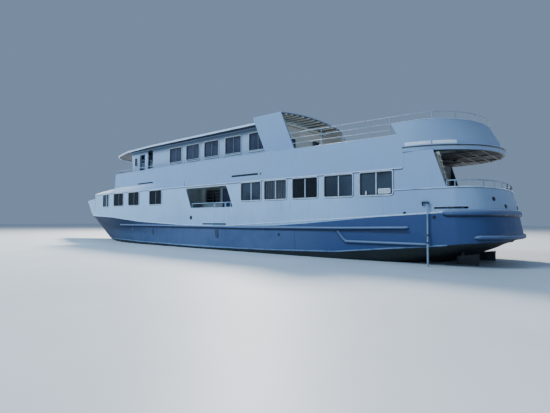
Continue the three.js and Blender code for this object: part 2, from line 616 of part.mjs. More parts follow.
// Deckhouse
const houseTop = ROOF.bottom - FIT;
{
  const low = UPPER_DECK.top + FIT;
  const rake = (DECKHOUSE.frontTop - DECKHOUSE.front) / (houseTop - low);
  const lean = (z) => DECKHOUSE.front + rake * (z - low);
  const outline = [[DECKHOUSE.aft + WALL + FIT, low], [lean(low), low], [lean(houseTop), houseTop],
    [DECKHOUSE.aft + WALL + FIT, houseTop]];
  const windows = UPPER_WINDOWS.map((fore) => box([fore - UPPER_WINDOW, fore], [1800, 2100],
    [UPPER_SILL_Z, UPPER_HEAD_Z]));
  const doorway = box([5170, 5900], [1800, 2100], [low - 10, 6620]);
  const pane = box([6180, 6560], [1800, 2100], [5840, 6450]);
  const passage = box([4100, 4760], [1800, 2100], [5500, 6830]);
  const body = cut(profile(outline, [DECKHOUSE.y - WALL, DECKHOUSE.y]), ...windows, doorway, pane, passage);
  addPair('deckhouse_side', body, WHITE);
  const inner = DECKHOUSE.y - WALL - FIT;
  const front = profile([[lean(low) - 70, low], [lean(low), low], [lean(houseTop), houseTop],
    [lean(houseTop) - 70, houseTop]], [-inner, inner]);
  const panes = [-1270, 0, 1270].map((y) => box([6400, 7400], [y - 540, y + 540], [5700, 6600]));
  add('wheelhouse_front', cut(front, ...panes), WHITE);
}

{
  const bulkhead = box([DECKHOUSE.aft, DECKHOUSE.aft + WALL], [-DECKHOUSE.y, DECKHOUSE.y],
    [UPPER_DECK.top + FIT, houseTop]);
  const doorway = box([DECKHOUSE.aft - 50, DECKHOUSE.aft + 100], [290, 1090], [UPPER_DECK.top - 10, 6500]);
  const pane = box([DECKHOUSE.aft - 50, DECKHOUSE.aft + 100], [-1850, -1200], [5500, 6420]);
  add('deckhouse_aft', cut(bulkhead, doorway, pane), WHITE);
}

{
  // Columns: x, half breadth, underside, top; the fore end droops
  const edge = [[-8000, 2450, ROOF.bottom, ROOF.top], [3800, 2450, ROOF.bottom, ROOF.top],
    [7200, 2240, ROOF.bottom, ROOF.top], [8300, 2090, 6895, 6990], [9200, 1950, 6815, 6895],
    [9600, 1600, 6760, 6830], [9750, 1200, 6720, 6785], [9850, 500, 6680, 6740]];
  const sheet = loft(edge.map(([x, y, low, high]) => [
    [x, y, high], [x, y, low], [x, -y, low], [x, -y, high]]));
  const stub = (x, y) => box([x - 40, x + 40], [y - 40, y + 40], [ROOF.top - 10, ROOF.top + 160]);
  add('roof', join(sheet, stub(-3600, 1500), stub(-4600, 1300)), WHITE);
}

// Glazing: one strip behind the windows of each side
{
  const strip = (x, z, y) => box(x, [y - WALL - 12, y - WALL - FIT], z);
  addPair('main_glazing_aft', strip([-14900, -5600], [SILL_Z - 60, HEAD_Z + 60], HALF_BEAM), GLASS);
  addPair('main_glazing_fore', strip([1400, 8150], [SILL_Z - 60, HEAD_Z + 60], HALF_BEAM), GLASS);
  addPair('upper_glazing', strip([-7300, 2100], [UPPER_SILL_Z - 60, UPPER_HEAD_Z + 60], DECKHOUSE.y), GLASS);
}

// Rails
const RAIL_R = 22;
{
  const y = HALF_BEAM - BULWARK / 2;
  const height = (x, drop = 0) => 6000 + (x + 9700) * (90 / 6000) - drop;
  const bars = [0, 270, 520].map((drop) => bar([-9394 - drop * 0.44, y, height(-9330, drop)],
    [drop ? -14670 : -14800, y, height(drop ? -14670 : -14800, drop)], RAIL_R));
  const posts = [-11300, -12450, -13700, -14670].map((x) => bar(
    [x, y, bulwarkTop(x) + FIT], [x, y, height(x)], RAIL_R));
  const top = sternCurve(TOP_STERN, y, 8).map(([x, cy]) => [x + 30, cy, 5920]);
  const fullTop = [[-14750, y, 5925], [-15200, y, 5920], ...top.slice(1), ...top.slice(1, -1).reverse()
    .map(([x, cy, z]) => [x, -cy, z]), [-15200, -y, 5920], [-14750, -y, 5925]];
  const stern = bentBar(fullTop, RAIL_R, 36);
  const sternPosts = [2, 4, 6].flatMap((i) => {
    const [x, cy] = top[i];
    return [cy, -cy].map((py) => bar([x, py, 5640 + FIT], [x, py, 5920], RAIL_R));
  });
  const side = join(...bars, ...posts);
  add('upper_rail', join(side, mirror(side), stern, ...sternPosts), RAIL);
}

{
  const y = (x) => (x > -2000 ? HALF_BEAM - (x + 2000) * (500 / 10900) : HALF_BEAM) - BULWARK / 2;
  const height = (x) => bulwarkTop(Math.min(x, 8600));
  const side = [-7722, -2000, 3300, 8600].map((x) => [x, y(x)]);
  const path = bothSides([...side, [9350, 1165], [9530, 0]]).map(([x, py]) => [x, py, height(x) + 230]);
  const pipes = path.slice(1).map((to, i) => bar(path[i], to, RAIL_R));
  const knees = path.slice(1, -1).map(([x, py, z]) => solid(new THREE.SphereGeometry(RAIL_R + 2, 8, 6)
    .translate(x, py, z)));
  const sideFeet = Array.from({ length: 13 }, (_, i) => [-7200 + i * 1280, y(-7200 + i * 1280)]);
  const feet = [...sideFeet, [8980, 1765], [9440, 580]];
  const posts = feet.flatMap(([x, py]) => [py, -py].map((at) => bar(
    [x, at, height(x) + FIT], [x, at, height(x) + 230], RAIL_R)));
  add('fore_rail', join(...pipes, ...knees, ...posts), RAIL);
}

{
  const half = offset(sternLine(MAIN_DECK_Z), -BULWARK / 2).map(([x, y]) => [
    x < -17000 ? x + 250 * (-17000 - x) / 1500 : x, y, 3210]);
  half[0][0] = SIDE_AFT.port.bottom - 50;
  half.push([half[half.length - 1][0] - 10, 0, 3210]);
  const start = [SIDE_AFT.stbd.bottom - 50, -half[0][1], 3210];
  const path = [...half, ...half.slice(0, -1).reverse().map(([x, y, z]) => [x, -y, z]), start];
  const feet = half.filter((_, i) => i % 3 === 0);
  const posts = feet.flatMap(([x, y]) => [y, -y].map((py) => bar(
    [x, py, MAIN_RAIL_Z + FIT], [x, py, 3210], RAIL_R)));
  add('stern_rail', join(bentBar(path, RAIL_R, 36), ...posts), RAIL);
}

// Fenders
{
  const out = 90;
  const strip = (x, z) => box(x, [HALF_BEAM + FIT, HALF_BEAM + out], z);
  const long = strip([-15450, 7600], [RUB_Z, RUB_Z + 150]);
  const diagonal = profile([[-12060, RUB_Z + 20], [-12300, RUB_Z + 20], [-12700, 720], [-12460, 720]],
    [HALF_BEAM + FIT, HALF_BEAM + out]);
  const low = strip([-16140, -12460], [720, 880]);
  const cutAway = box([-17000, 8000], [2000, HALF_BEAM + FIT], [600, 1500]);
  addPair('rub_rail', cut(join(long, diagonal, low), cutAway), RUBBER);
}

{
  const fender = (line, z) => {
    const outer = offset(bothSides(line).reverse(), -110);
    return cut(wall(outer, outer, 110 - FIT, z), HULL_CLEAR);
  };
  add('stern_fender_upper', fender(sternLine(1870), [1870, 2120]), RUBBER);
  add('stern_fender_lower', fender(sternLine(RUB_Z).slice(1), [1010, 1200]), RUBBER);
}

// Running gear
function propeller(side) {
  const hub = solid(new THREE.CylinderGeometry(PROP.hub, PROP.hub * 0.8, 220, 12).rotateZ(Math.PI / 2));
  const shape = new THREE.Shape();
  shape.moveTo(-60, 40);
  shape.bezierCurveTo(-190, 180, -200, 330, -60, PROP.radius);
  shape.bezierCurveTo(60, PROP.radius, 170, 330, 60, 40);
  shape.closePath();
  const blades = Array.from({ length: PROP.blades }, (_, i) => {
    const blade = new THREE.ExtrudeGeometry(shape, { depth: 16, bevelEnabled: false, curveSegments: 5 });
    blade.translate(0, 0, -8).rotateY(side * 0.7 + Math.PI / 2).rotateX((2 * Math.PI * i) / PROP.blades);
    return solid(blade);
  });
  return moved(join(hub, ...blades), PROP.x, side * SHAFT.y, SHAFT.z);
}

for (const [side, name] of [[1, 'port'], [-1, 'stbd']]) {
  const y = side * SHAFT.y;
  const shaft = bar([PROP.x + 110 + FIT, y, SHAFT.z], [-13400, y, SHAFT.z], SHAFT.radius, 10);
  const barrel = bar([PROP.x + 200, y, SHAFT.z], [PROP.x + 520, y, SHAFT.z], 90, 12);
  const strut = box([PROP.x + 260, PROP.x + 460], [y - 20, y + 20], [SHAFT.z, 90]);
  add(`shaft_${name}`, cut(join(shaft, barrel, strut), moved(bottom(), 0, 0, -FIT)), DARK);
  add(`propeller_${name}`, propeller(side), BRONZE);
  const blade = profile([[RUDDER.fore, RUDDER.top - 100], [RUDDER.aft, RUDDER.top],
    [RUDDER.aft - 40, RUDDER.bottom + 80], [RUDDER.fore + 30, RUDDER.bottom]],
  [y - RUDDER.half, y + RUDDER.half]);
  const stock = bar([RUDDER.stock, y, RUDDER.top - 100], [RUDDER.stock, y, RUDDER.top + 8], 45, 10);
  add(`rudder_${name}`, join(blade, stock), DARK);
}

// Engines on their bed in the well
{
  const floor = ENGINE_ROOM.z[0];
  const bed = box([-11000, -8700], [-1150, 1150], [floor + FIT, floor + 120]);
  const blocks = [-1, 1].map((side) => box([-10700, -9000], side > 0 ? [250, 1000] : [-1000, -250],
    [floor + 100, 1650]));
  add('engines', join(bed, ...blocks), DARK);
}

// Hatches
{
  const edge = 40;
  const lid = (well, z) => box([well.x[0] - edge, well.x[1] + edge],
    [well.y[0] - edge, well.y[1] + edge], [z + FIT, z + 50]);
  add('engine_hatch', lid(ENGINE_HATCH, MAIN_DECK_Z), DECK);
  add('fore_hatch', lid(FORE_HATCH, FOREDECK_Z), WHITE);
}

// Doors
{
  const [inside, outside] = [DECKHOUSE.y - WALL - 45, DECKHOUSE.y - WALL - RUN];
  const runner = (z) => box(WHEELHOUSE_DOOR, [outside - 5, DECKHOUSE.y - WALL - FIT], [z, z + 40]);
  const leaf = box(WHEELHOUSE_DOOR, [inside, outside], [UPPER_DECK.top + 10, 6640]);
  addPair('wheelhouse_door', join(leaf, runner(UPPER_DECK.top + 20), runner(6590)), WHITE);
}

// Leaf of a doorway in an aft bulkhead whose aft face is at x, hung on its port edge
function aftDoor(x, y, z) {
  const leaf = box([x + 10, x + 50], y, z);
  const straps = [
    [[x - 22, x - FIT], [y[1] - 60, y[1] + 6]],
    [[x - 5, x + 12], [y[1] - 60, y[1] - 2]],
  ];
  return hang(leaf, [x - HINGE_R - FIT, y[1] + 6], straps, [z[0] + 350, z[1] - 350]);
}

add('upper_aft_door', aftDoor(DECKHOUSE.aft, [298, 1082], [UPPER_DECK.top + 10, 6490]), WHITE);
add('main_aft_door', aftDoor(HOUSE_AFT_X - WALL, [-442, 442], [MAIN_DECK_Z + 10, 3940]), WHITE);

// Deck fittings
{
  const console = join(box([5900, 6350], [-600, 600], [UPPER_DECK.top + FIT, 5500]),
    box([5850, 6450], [-650, 650], [5480, 5560]));
  add('helm_console', console, DARK);
}

{
  const [top, foot] = [LADDER.top, LADDER.foot];
  const stringer = (y) => profile([[top[0] - 60, top[1]], [top[0] + 60, top[1]],
    [foot[0] + 60, foot[1] + FIT], [foot[0] - 60, foot[1] + FIT]], [y, y + 50]);
  const treads = Array.from({ length: 10 }, (_, i) => {
    const t = (i + 1) / 11;
    const x = foot[0] + t * (top[0] - foot[0]);
    const z = foot[1] + t * (top[1] - foot[1]);
    return box([x - 110, x + 60], [LADDER.y[0] + 40, LADDER.y[1] - 40], [z - 15, z + 15]);
  });
  add('ladder', join(stringer(LADDER.y[0]), stringer(LADDER.y[1] - 50), ...treads), RAIL);
}

{
  const y = HALF_BEAM + 100;
  const bracket = box([-16230, -15960], [HALF_BEAM + FIT, HALF_BEAM + 130], [2380, 2440]);
  const pipe = bar([-16200, y, -700], [-16200, y, 2420], 45, 10);
  add('overboard_pipe', join(bracket, pipe), DARK);
}

export default scene;
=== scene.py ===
"""Looks of a laid-up steel excursion motor yacht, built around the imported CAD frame.

Metres; +X to the bow, +Y to port, +Z up; the origin is on the waterline amidships.
"""
import math

import bmesh
import bpy
from mathutils import Matrix, Vector
from mathutils.bvhtree import BVHTree


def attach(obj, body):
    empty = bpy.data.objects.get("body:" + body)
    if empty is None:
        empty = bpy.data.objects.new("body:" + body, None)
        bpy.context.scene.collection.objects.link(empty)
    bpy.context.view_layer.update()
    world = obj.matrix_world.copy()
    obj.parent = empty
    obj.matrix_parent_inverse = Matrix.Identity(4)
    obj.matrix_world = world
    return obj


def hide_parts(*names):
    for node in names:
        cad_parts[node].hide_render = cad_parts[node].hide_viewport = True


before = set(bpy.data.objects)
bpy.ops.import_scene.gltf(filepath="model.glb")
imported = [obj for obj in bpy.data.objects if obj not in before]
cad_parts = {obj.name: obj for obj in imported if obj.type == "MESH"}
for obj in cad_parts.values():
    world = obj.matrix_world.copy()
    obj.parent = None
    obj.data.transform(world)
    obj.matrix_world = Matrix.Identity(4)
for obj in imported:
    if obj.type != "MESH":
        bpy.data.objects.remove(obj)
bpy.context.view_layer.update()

# Main dimensions and directions

HALF_BEAM = 2.9
HOUSE_Y = 2.0
MAIN_DECK, FOREDECK, UPPER_DECK = 1.95, 2.45, 4.6
LEDGE_Z, MOULDING_Z, EAVES_Z = 2.955, 3.81, 6.94
HOUSE_AFT = -15.2
FRAME_SPACE = 0.61
UP = Vector((0, 0, 1))
OUT = Vector((0, 1, 0))
AFT = Vector((-1, 0, 0))
FORWARD = Vector((1, 0, 0))

# Where white meets blue along the side: (x, z)
SHEER = [(18.8, 2.30), (17.5, 2.23), (12.9, 2.10), (8.3, 1.95), (4.46, 1.64), (1.45, 1.52),
         (-1.2, 1.42), (-4.5, 1.41), (-7.3, 1.43), (-9.7, 1.54), (-11.8, 1.69), (-13.6, 1.83),
         (-15.2, 1.94), (-16.6, 2.04), (-17.8, 2.10), (-19, 2.13)]

# Camera, as fitted to the photograph

EYE = Vector((-21.8, 18.2, 1.70))
LOOK = Vector((0.656, -0.755, 0)).normalized()
PITCH, ROLL = math.radians(2.03), math.radians(0.2)
SENSOR = 36
FOCAL_PX, PHOTO_PX = 402.1, 550

camera = bpy.data.objects.new("camera", bpy.data.cameras.new("camera"))
bpy.context.collection.objects.link(camera)
aim = (LOOK * math.cos(PITCH) + UP * math.sin(PITCH)).to_track_quat("-Z", "Y").to_matrix().to_4x4()
camera.matrix_world = Matrix.Translation(EYE) @ aim @ Matrix.Rotation(ROLL, 4, "Z")
camera.data.sensor_width = SENSOR
camera.data.lens = FOCAL_PX / PHOTO_PX * SENSOR
camera.data.clip_end = 500
bpy.context.scene.camera = camera

# Light: a warm key from high off the starboard bow, a cool fill from port and a pale sky


def lamp(name, place, target, size, watts, colour):
    light = bpy.data.lights.new(name, "AREA")
    light.shape = "DISK"
    light.size = size
    light.energy = watts
    light.color = colour
    obj = bpy.data.objects.new(name, light)
    bpy.context.collection.objects.link(obj)
    obj.location = place
    obj.rotation_mode = "QUATERNION"
    obj.rotation_quaternion = (Vector(target) - Vector(place)).to_track_quat("-Z", "Y")


lamp("key", (22, -26, 40), (0, 0, 3), 12, 62000, (1.0, 0.95, 0.88))
lamp("fill", (12, 46, 44), (-3, 0, 3), 26, 32000, (0.52, 0.76, 1.0))
world = bpy.data.worlds.new("studio")
bpy.context.scene.world = world
world.use_nodes = True
sky = world.node_tree.nodes["Background"].inputs
sky["Color"].default_value = (0.46, 0.66, 1.0, 1)
sky["Strength"].default_value = 0.4

# Colours, sRGB from 0 to 255

# Ship's white, darkened and tinted blue as painted sky shade.
WHITE = (174, 204, 233)
WHITE_DIRTY = (150, 172, 192)
WHITE_SHADED = (149, 175, 209)
# White as painted sunlight, for the shelf's sunlit top.
WHITE_PAINTED_SUN = (236, 243, 250)
WHITE_RUN = (142, 152, 160)
WHITE_SPECK = (134, 142, 150)
# Colour of the painted shadow bands under ledges.
PAINTED_SHADOW = (78, 92, 110)
BLUE = (88, 106, 140)
BLUE_AFT = (58, 80, 122)
BLUE_DEEP = (50, 76, 120)
BLUE_FORE = (38, 48, 70)
BLUE_BOW = (84, 86, 98)
BLUE_SHADOW = (34, 46, 72)
BLUE_PALE = (96, 120, 152)
BLUE_SPECK = (84, 112, 150)
BLUE_SCRAPE = (104, 124, 150)
PRIMER = (176, 178, 168)
# Pale blue of a painted highlight, light off the water along the blue's lower edge.
WATER_GLINT = (140, 156, 178)
RUST = (112, 62, 36)
BOTTOM = (34, 36, 40)
WEED = (44, 52, 40)

# Materials


def linear(colour):
    """An sRGB colour as a linear shader colour."""
    shares = [c / 255 for c in colour]
    return (*(c / 12.92 if c <= 0.04045 else ((c + 0.055) / 1.055) ** 2.4 for c in shares), 1)


class Shade:
    """Builds one procedural material, node by node, in the ship's own coordinates."""

    def __init__(self, name):
        self.mat = bpy.data.materials.new(name)
        self.mat.use_nodes = True
        self.tree = self.mat.node_tree
        self.shader = self.tree.nodes["Principled BSDF"]
        self.place = self.node("TexCoord").outputs["Object"]
        self.x, self.y, self.z = self.node("SeparateXYZ", {0: self.place}).outputs
        self.facing = self.node("SeparateXYZ", {0: self.node("NewGeometry").outputs["Normal"]}).outputs

    def node(self, kind, sockets=None, **props):
        made = self.tree.nodes.new("ShaderNode" + kind)
        for key, value in props.items():
            setattr(made, key, value)
        for key, value in (sockets or {}).items():
            self.put(made.inputs[key], value)
        return made

    def put(self, socket, value):
        if isinstance(value, bpy.types.NodeSocket):
            self.tree.links.new(value, socket)
        else:
            socket.default_value = linear(value) if socket.type == "RGBA" else value

    def math(self, operation, a, b=0.0, clamp=False):
        return self.node("Math", {0: a, 1: b}, operation=operation, use_clamp=clamp).outputs[0]

    def plus(self, a, b):
        return self.math("ADD", a, b)

    def times(self, product, *factors):
        for factor in factors:
            product = self.math("MULTIPLY", product, factor)
        return product

    def noise(self, scale, detail=3.0, rough=0.55, stretch=None):
        place = self.place
        if stretch:
            place = self.node("VectorMath", {0: place, 1: stretch}, operation="MULTIPLY").outputs[0]
        sockets = {"Vector": place, "Scale": scale, "Detail": detail, "Roughness": rough}
        return self.node("TexNoise", sockets).outputs["Fac"]

    def ramp(self, value, low, high, to_low=0.0, to_high=1.0):
        sockets = {"Value": value, "From Min": low, "From Max": high, "To Min": to_low, "To Max": to_high}
        return self.node("MapRange", sockets, interpolation_type="SMOOTHSTEP").outputs[0]

    def span(self, value, rise, fall):
        """1 between two values, rising over the pair rise and falling over the pair fall."""
        return self.times(self.ramp(value, *rise), self.ramp(value, *fall[::-1]))

    def near(self, value, centre, far, close):
        """1 within close of the centre, 0 beyond far."""
        return self.ramp(self.math("ABSOLUTE", self.math("SUBTRACT", value, centre)), far, close)

    def mix(self, share, a, b):
        made = self.node("Mix", data_type="RGBA", clamp_factor=True)
        for index, value in ((0, share), (6, a), (7, b)):
            self.put(made.inputs[index], value)
        return made.outputs[2]

    def layers(self, colour, *coats):
        """A colour under coats, each a share and a colour of its own."""
        for share, coat in coats:
            colour = self.mix(share, colour, coat)
        return colour

    def curve(self, value, points, low, high):
        """A height that follows points (x, z), x mapped from low..high."""
        tops = [z for _, z in points]
        bottom, span = min(tops), max(tops) - min(tops)
        share = self.math("DIVIDE", self.math("SUBTRACT", value, low), high - low, clamp=True)
        made = self.node("FloatCurve", {"Value": share})
        curve = made.mapping.curves[0]
        for i, (x, z) in enumerate(sorted(points)):
            at = ((x - low) / (high - low), (z - bottom) / span)
            if i < 2:
                curve.points[i].location = at
            else:
                curve.points.new(*at)
        made.mapping.update()
        return self.plus(self.times(made.outputs[0], span), bottom)

    def inside(self):
        """1 on faces that look inboard: across the ship, and along it near her ends."""
        past_stern = self.math("MINIMUM", self.plus(self.x, 15.5), 0.0)
        past_bow = self.math("MAXIMUM", self.plus(self.x, -12.3), 0.0)
        along = self.times(self.facing[0], self.plus(past_stern, past_bow))
        return self.ramp(self.plus(along, self.times(self.facing[1], self.y)), -0.2, -0.5)

    def bumps(self, *heights):
        """A normal from heights, each with its distance."""
        normal = None
        for height, distance in heights:
            sockets = {"Height": height, "Distance": distance}
            if normal:
                sockets["Normal"] = normal
            normal = self.node("Bump", sockets).outputs[0]
        return normal

    def finish(self, colour, rough, normal=None, **constants):
        self.put(self.shader.inputs["Base Color"], colour)
        self.put(self.shader.inputs["Roughness"], rough)
        if normal:
            self.put(self.shader.inputs["Normal"], normal)
        for name, value in constants.items():
            self.shader.inputs[name.replace("_", " ")].default_value = value
        return self.mat


def blue_paint(s, cloud, fine, runs, rusty):
    """Chalked, scraped, rusty blue; painted shadow under the rub rail, painted water highlight over the
    dark bottom.
    """
    chalk = s.times(s.ramp(s.x, -9, 7), s.ramp(runs, 0.4, 0.7, 0.1, 0.7), s.ramp(s.z, 1.2, 0.6))
    fore = s.times(s.ramp(s.x, -2, 7), s.ramp(s.z, 0.6, 1.3, 0.4, 0.95))
    bow = s.times(s.ramp(s.x, 5, 11.5, 0, 0.85), s.ramp(runs, 0.3, 0.7, 1, 0.5))
    rub_shadow = s.times(s.span(s.z, (1.16, 1.25), (1.30, 1.34)), s.span(s.x, (-15.6, -15.4), (7.0, 7.2)))
    butt = s.times(s.near(s.x, -9.73, 0.02, 0.006), s.ramp(s.z, 1.36, 1.3))
    by_gate = s.times(s.near(s.z, 1.44, 0.06, 0.02), s.near(s.x, -4.3, 2.2, 1.4))
    flaking = s.ramp(s.noise(6.5, 6, 0.7, (1, 1, 2.4)), 0.54, 0.6)
    scrapes = s.ramp(s.noise(1.0, 5, 0.65, (0.9, 0.9, 14)), 0.62, 0.72, 0, 0.45)
    ragged = s.plus(s.z, s.times(s.noise(3.0, 4), 0.05))
    # A painted highlight of light off the water, along the blue's lower edge.
    water_glint = s.times(s.ramp(ragged, 0.26, 0.22), s.span(s.x, (-10, -8), (9, 12)))
    return s.layers(BLUE,
                    (s.ramp(s.x, -7, -13), BLUE_AFT),
                    (s.ramp(cloud, 0.32, 0.72, 0, 0.5), BLUE_DEEP),
                    (chalk, BLUE_PALE),
                    (fore, BLUE_FORE),
                    (bow, BLUE_BOW),
                    (s.times(rub_shadow, 0.75), BLUE_SHADOW),
                    (s.times(butt, 0.7), BLUE_SHADOW),
                    (s.ramp(fine, 0.6, 0.8, 0, 0.3), BLUE_SPECK),
                    (s.times(flaking, by_gate), PRIMER),
                    (s.times(scrapes, s.ramp(s.z, 1.9, 0.3)), BLUE_SCRAPE),
                    (s.times(rusty, 0.8), RUST),
                    (s.times(water_glint, 0.8), WATER_GLINT),
                    (s.ramp(ragged, 0.16, 0.13), BOTTOM))


def plate_normal(s):
    """Plating sagging between frames, with welded seams and a rough coat."""
    plan = s.node("CombineXYZ", {0: s.x, 1: s.z}).outputs[0]
    seams = s.node("TexBrick", {"Vector": plan, "Scale": 1.0, "Mortar Size": 0.012, "Mortar Smooth": 1.0,
                                "Brick Width": 3.6, "Row Height": 1.25}, offset=0.5)
    frames = s.math("ABSOLUTE", s.math("SINE", s.times(s.x, 2 * math.pi / FRAME_SPACE)))
    sag = s.times(s.math("POWER", frames, 0.6), s.ramp(s.noise(0.4, 2), 0.42, 0.7))
    return s.bumps((sag, 0.006), (seams.outputs["Fac"], 0.0015), (s.noise(1.6, 3), 0.006),
                   (s.noise(60, 3), 0.0006))


def ship_paint(name, split=True, lining=None, under=None, painted_shadows=(), base=WHITE, painted_sun=None, gloss=0.5):
    """Ship's white with plate seams, runs and small rust; plain white turns to painted shade towards the
    stern.

    It is blue below the sheer if split, and painted sunlight brightens it between two given lengths.
    Each row of shadow bands is a painted shadow under a ledge: low, high, fore, aft.
    Faces that look inboard take the lining, and those that look down take under, a painted shade.
    The gloss is the shader's specular level.
    """
    s = Shade(name)
    cloud = s.noise(0.55, 4, 0.6)
    fine = s.noise(9.0, 4, 0.6)
    runs = s.noise(1.0, 4, 0.7, (7.0, 7.0, 0.35))
    rusty = s.times(s.ramp(s.noise(3.1, 6, 0.7), 0.66, 0.74), s.ramp(s.noise(0.8, 2), 0.5, 0.62))
    coats = [(s.ramp(cloud, 0.35, 0.75, 0, 0.35), WHITE_DIRTY)]
    # Towards the stern the plain white turns to the shaded white: painted shade.
    if base == WHITE:
        coats.append((s.ramp(s.x, -11, -15.5), WHITE_SHADED))
    # Painted sunlight between two lengths.
    if painted_sun:
        coats.append((s.ramp(s.x, *painted_sun), WHITE_PAINTED_SUN))
    coats += [(s.ramp(runs, 0.56, 0.78, 0, 0.42), WHITE_RUN),
              (s.ramp(fine, 0.62, 0.8, 0, 0.18), WHITE_SPECK),
              (s.times(rusty, 0.55), RUST)]
    # Painted shadow bands under ledges.
    for low, high, fore, aft in painted_shadows:
        band = s.span(s.z, (low, high), (high, high + 0.003))
        coats.append((s.times(band, s.span(s.x, (aft - 0.02, aft), (fore, fore + 0.02)), 0.95), PAINTED_SHADOW))
    colour = s.layers(base, *coats)
    rough = s.ramp(cloud, 0.3, 0.7, 0.38, 0.52)
    if split:
        wobble = s.times(s.plus(s.noise(2.2, 3), -0.5), 0.02)
        line = s.plus(s.curve(s.x, SHEER, SHEER[-1][0], SHEER[0][0]), wobble)
        below = s.ramp(s.math("SUBTRACT", line, s.z), -0.006, 0.006)
        colour = s.mix(below, colour, blue_paint(s, cloud, fine, runs, rusty))
        rough = s.math("MAXIMUM", rough, s.times(below, s.ramp(s.x, -4, 7, 0.3, 0.95)))
    if lining:
        colour = s.mix(s.inside(), colour, lining)
    if under:
        colour = s.mix(s.ramp(s.facing[2], -0.5, -0.8), colour, under)
    return s.finish(colour, rough, plate_normal(s), Specular_IOR_Level=gloss)


def plain_paint(name, base, worn, scale=4.0, rough=(0.4, 0.6), bump=0.001, rust=0.4, metallic=0.0):
    """Painted metal of one colour, worn, with small rust."""
    s = Shade(name)
    cloud = s.noise(scale, 5, 0.6)
    spots = s.times(s.ramp(s.noise(scale * 3, 5, 0.7), 0.64, 0.72), rust)
    colour = s.layers(base, (s.ramp(cloud, 0.42, 0.72), worn), (spots, RUST))
    normal = s.bumps((s.noise(scale * 14, 3), bump))
    return s.finish(colour, s.ramp(cloud, 0.3, 0.7, *rough), normal, Metallic=metallic)


def fender_paint(name):
    """Blue with painted light on the faces that look up and painted shade on those that look down, scuffed
    and rusty.
    """
    s = Shade(name)
    cloud = s.noise(3.2, 5, 0.6)
    scuffs = s.times(s.ramp(s.noise(6.5, 6, 0.75, (0.8, 0.8, 2)), 0.62, 0.68),
                     s.ramp(s.noise(0.5, 2), 0.45, 0.6))
    colour = s.layers((66, 92, 136),
                      (s.ramp(cloud, 0.42, 0.72, 0, 0.6), (92, 114, 150)),
                      # Painted light on faces that look up, painted shade on faces that look down.
                      (s.ramp(s.facing[2], 0.05, 0.5, 0, 0.7), (134, 150, 174)),
                      (s.ramp(s.facing[2], -0.02, -0.4, 0, 0.92), (14, 22, 50)),
                      (scuffs, (170, 176, 176)),
                      (s.ramp(s.noise(11, 5, 0.7), 0.68, 0.74, 0, 0.5), RUST))
    return s.finish(colour, s.ramp(cloud, 0.3, 0.7, 0.45, 0.65), s.bumps((s.noise(30, 3), 0.001)))


def deck_paint(name, side):
    """Grey non-slip on the top, painted shade below and in openings, and side on the ship's outer faces.
    """
    s = Shade(name)
    cloud = s.noise(0.9, 5, 0.65)
    patches = s.ramp(cloud, 0.35, 0.7)
    top = s.layers((126, 132, 134),
                   (patches, (148, 152, 150)),
                   (s.ramp(s.noise(2.3, 6, 0.7), 0.6, 0.7, 0, 0.5), (104, 98, 90)),
                   (s.ramp(s.noise(5.0, 6, 0.75), 0.68, 0.74, 0, 0.7), RUST))
    # Painted shade for faces that look down and for the walls of openings.
    under = s.mix(patches, (72, 76, 78), (56, 58, 60))
    outer = s.math("MAXIMUM", s.ramp(s.math("ABSOLUTE", s.y), 2.6, 2.8), s.ramp(s.x, -16.95, -17.2))
    colour = s.layers(s.mix(outer, under, side),
                      (s.ramp(s.facing[2], 0.3, 0.6), top),
                      (s.ramp(s.facing[2], -0.3, -0.6), under))
    normal = s.bumps((s.noise(160, 2, 0.5), 0.0015), (s.noise(1.2, 2), 0.008))
    return s.finish(colour, s.ramp(cloud, 0.3, 0.7, 0.62, 0.85), normal)


def tinted_glass(name, dark, pale, stripes=0.0, clear=0.4):
    """Dusty glass with broad patches of painted reflection; clear is how much shows through it, and
    stripes are blinds behind it.
    """
    s = Shade(name)
    dust = s.ramp(s.noise(7, 5, 0.7), 0.5, 0.8, 0.03, 0.22)
    slats = s.ramp(s.math("SINE", s.times(s.x, 2 * math.pi / 0.17)), -0.3, 0.5, 0, stripes)
    colour = s.layers(dark,
                      # Broad patches of the second colour: painted reflection.
                      (s.ramp(s.noise(0.55, 1), 0.42, 0.58), pale),
                      (slats, (60, 62, 70)),
                      (dust, (130, 136, 136)))
    return s.finish(colour, s.ramp(dust, 0.0, 0.3, 0.04, 0.3), s.bumps((s.noise(1.1, 2), 0.004)),
                    IOR=1.5, Transmission_Weight=clear)


# Lining colours for faces that look inboard; the dark one is also painted shade on faces that look down,
# and the belt's is painted shade under and inside the belt.
LINING, DARK_LINING_AND_SHADE, BELT_SHADE = (150, 158, 162), (84, 90, 88), (56, 60, 64)
# Painted shadow bands under the moulding, the ledge and the eaves: low, high, fore, aft.
MOULDING_SHADOW = (MOULDING_Z - 0.10, MOULDING_Z - 0.02, 20, HOUSE_AFT)
LEDGE_SHADOW = (LEDGE_Z - 0.07, LEDGE_Z - 0.018, -14.8, -20)
EAVES_SHADOW = ((EAVES_Z - 0.4, EAVES_Z - 0.05, 20, -20), (EAVES_Z - 0.06, EAVES_Z, 20, -20))

SHIP = ship_paint("ship_paint", lining=LINING, gloss=0.3)
# Faces of the house sides that look down take a painted shade.
SIDE_PAINT = ship_paint("side_paint", lining=DARK_LINING_AND_SHADE, under=DARK_LINING_AND_SHADE,
                        painted_shadows=(MOULDING_SHADOW, LEDGE_SHADOW))
STERN_PAINT = ship_paint("stern_paint", lining=LINING, base=WHITE_SHADED, painted_shadows=(LEDGE_SHADOW,))
# The wing's white is darkened as painted shade, and its faces that look down take a painted shade.
WING = ship_paint("wing_paint", split=False, lining=(222, 216, 202), under=(150, 148, 138),
                  base=(138, 164, 200))
HOUSE = ship_paint("house_paint", split=False, base=WHITE_SHADED)
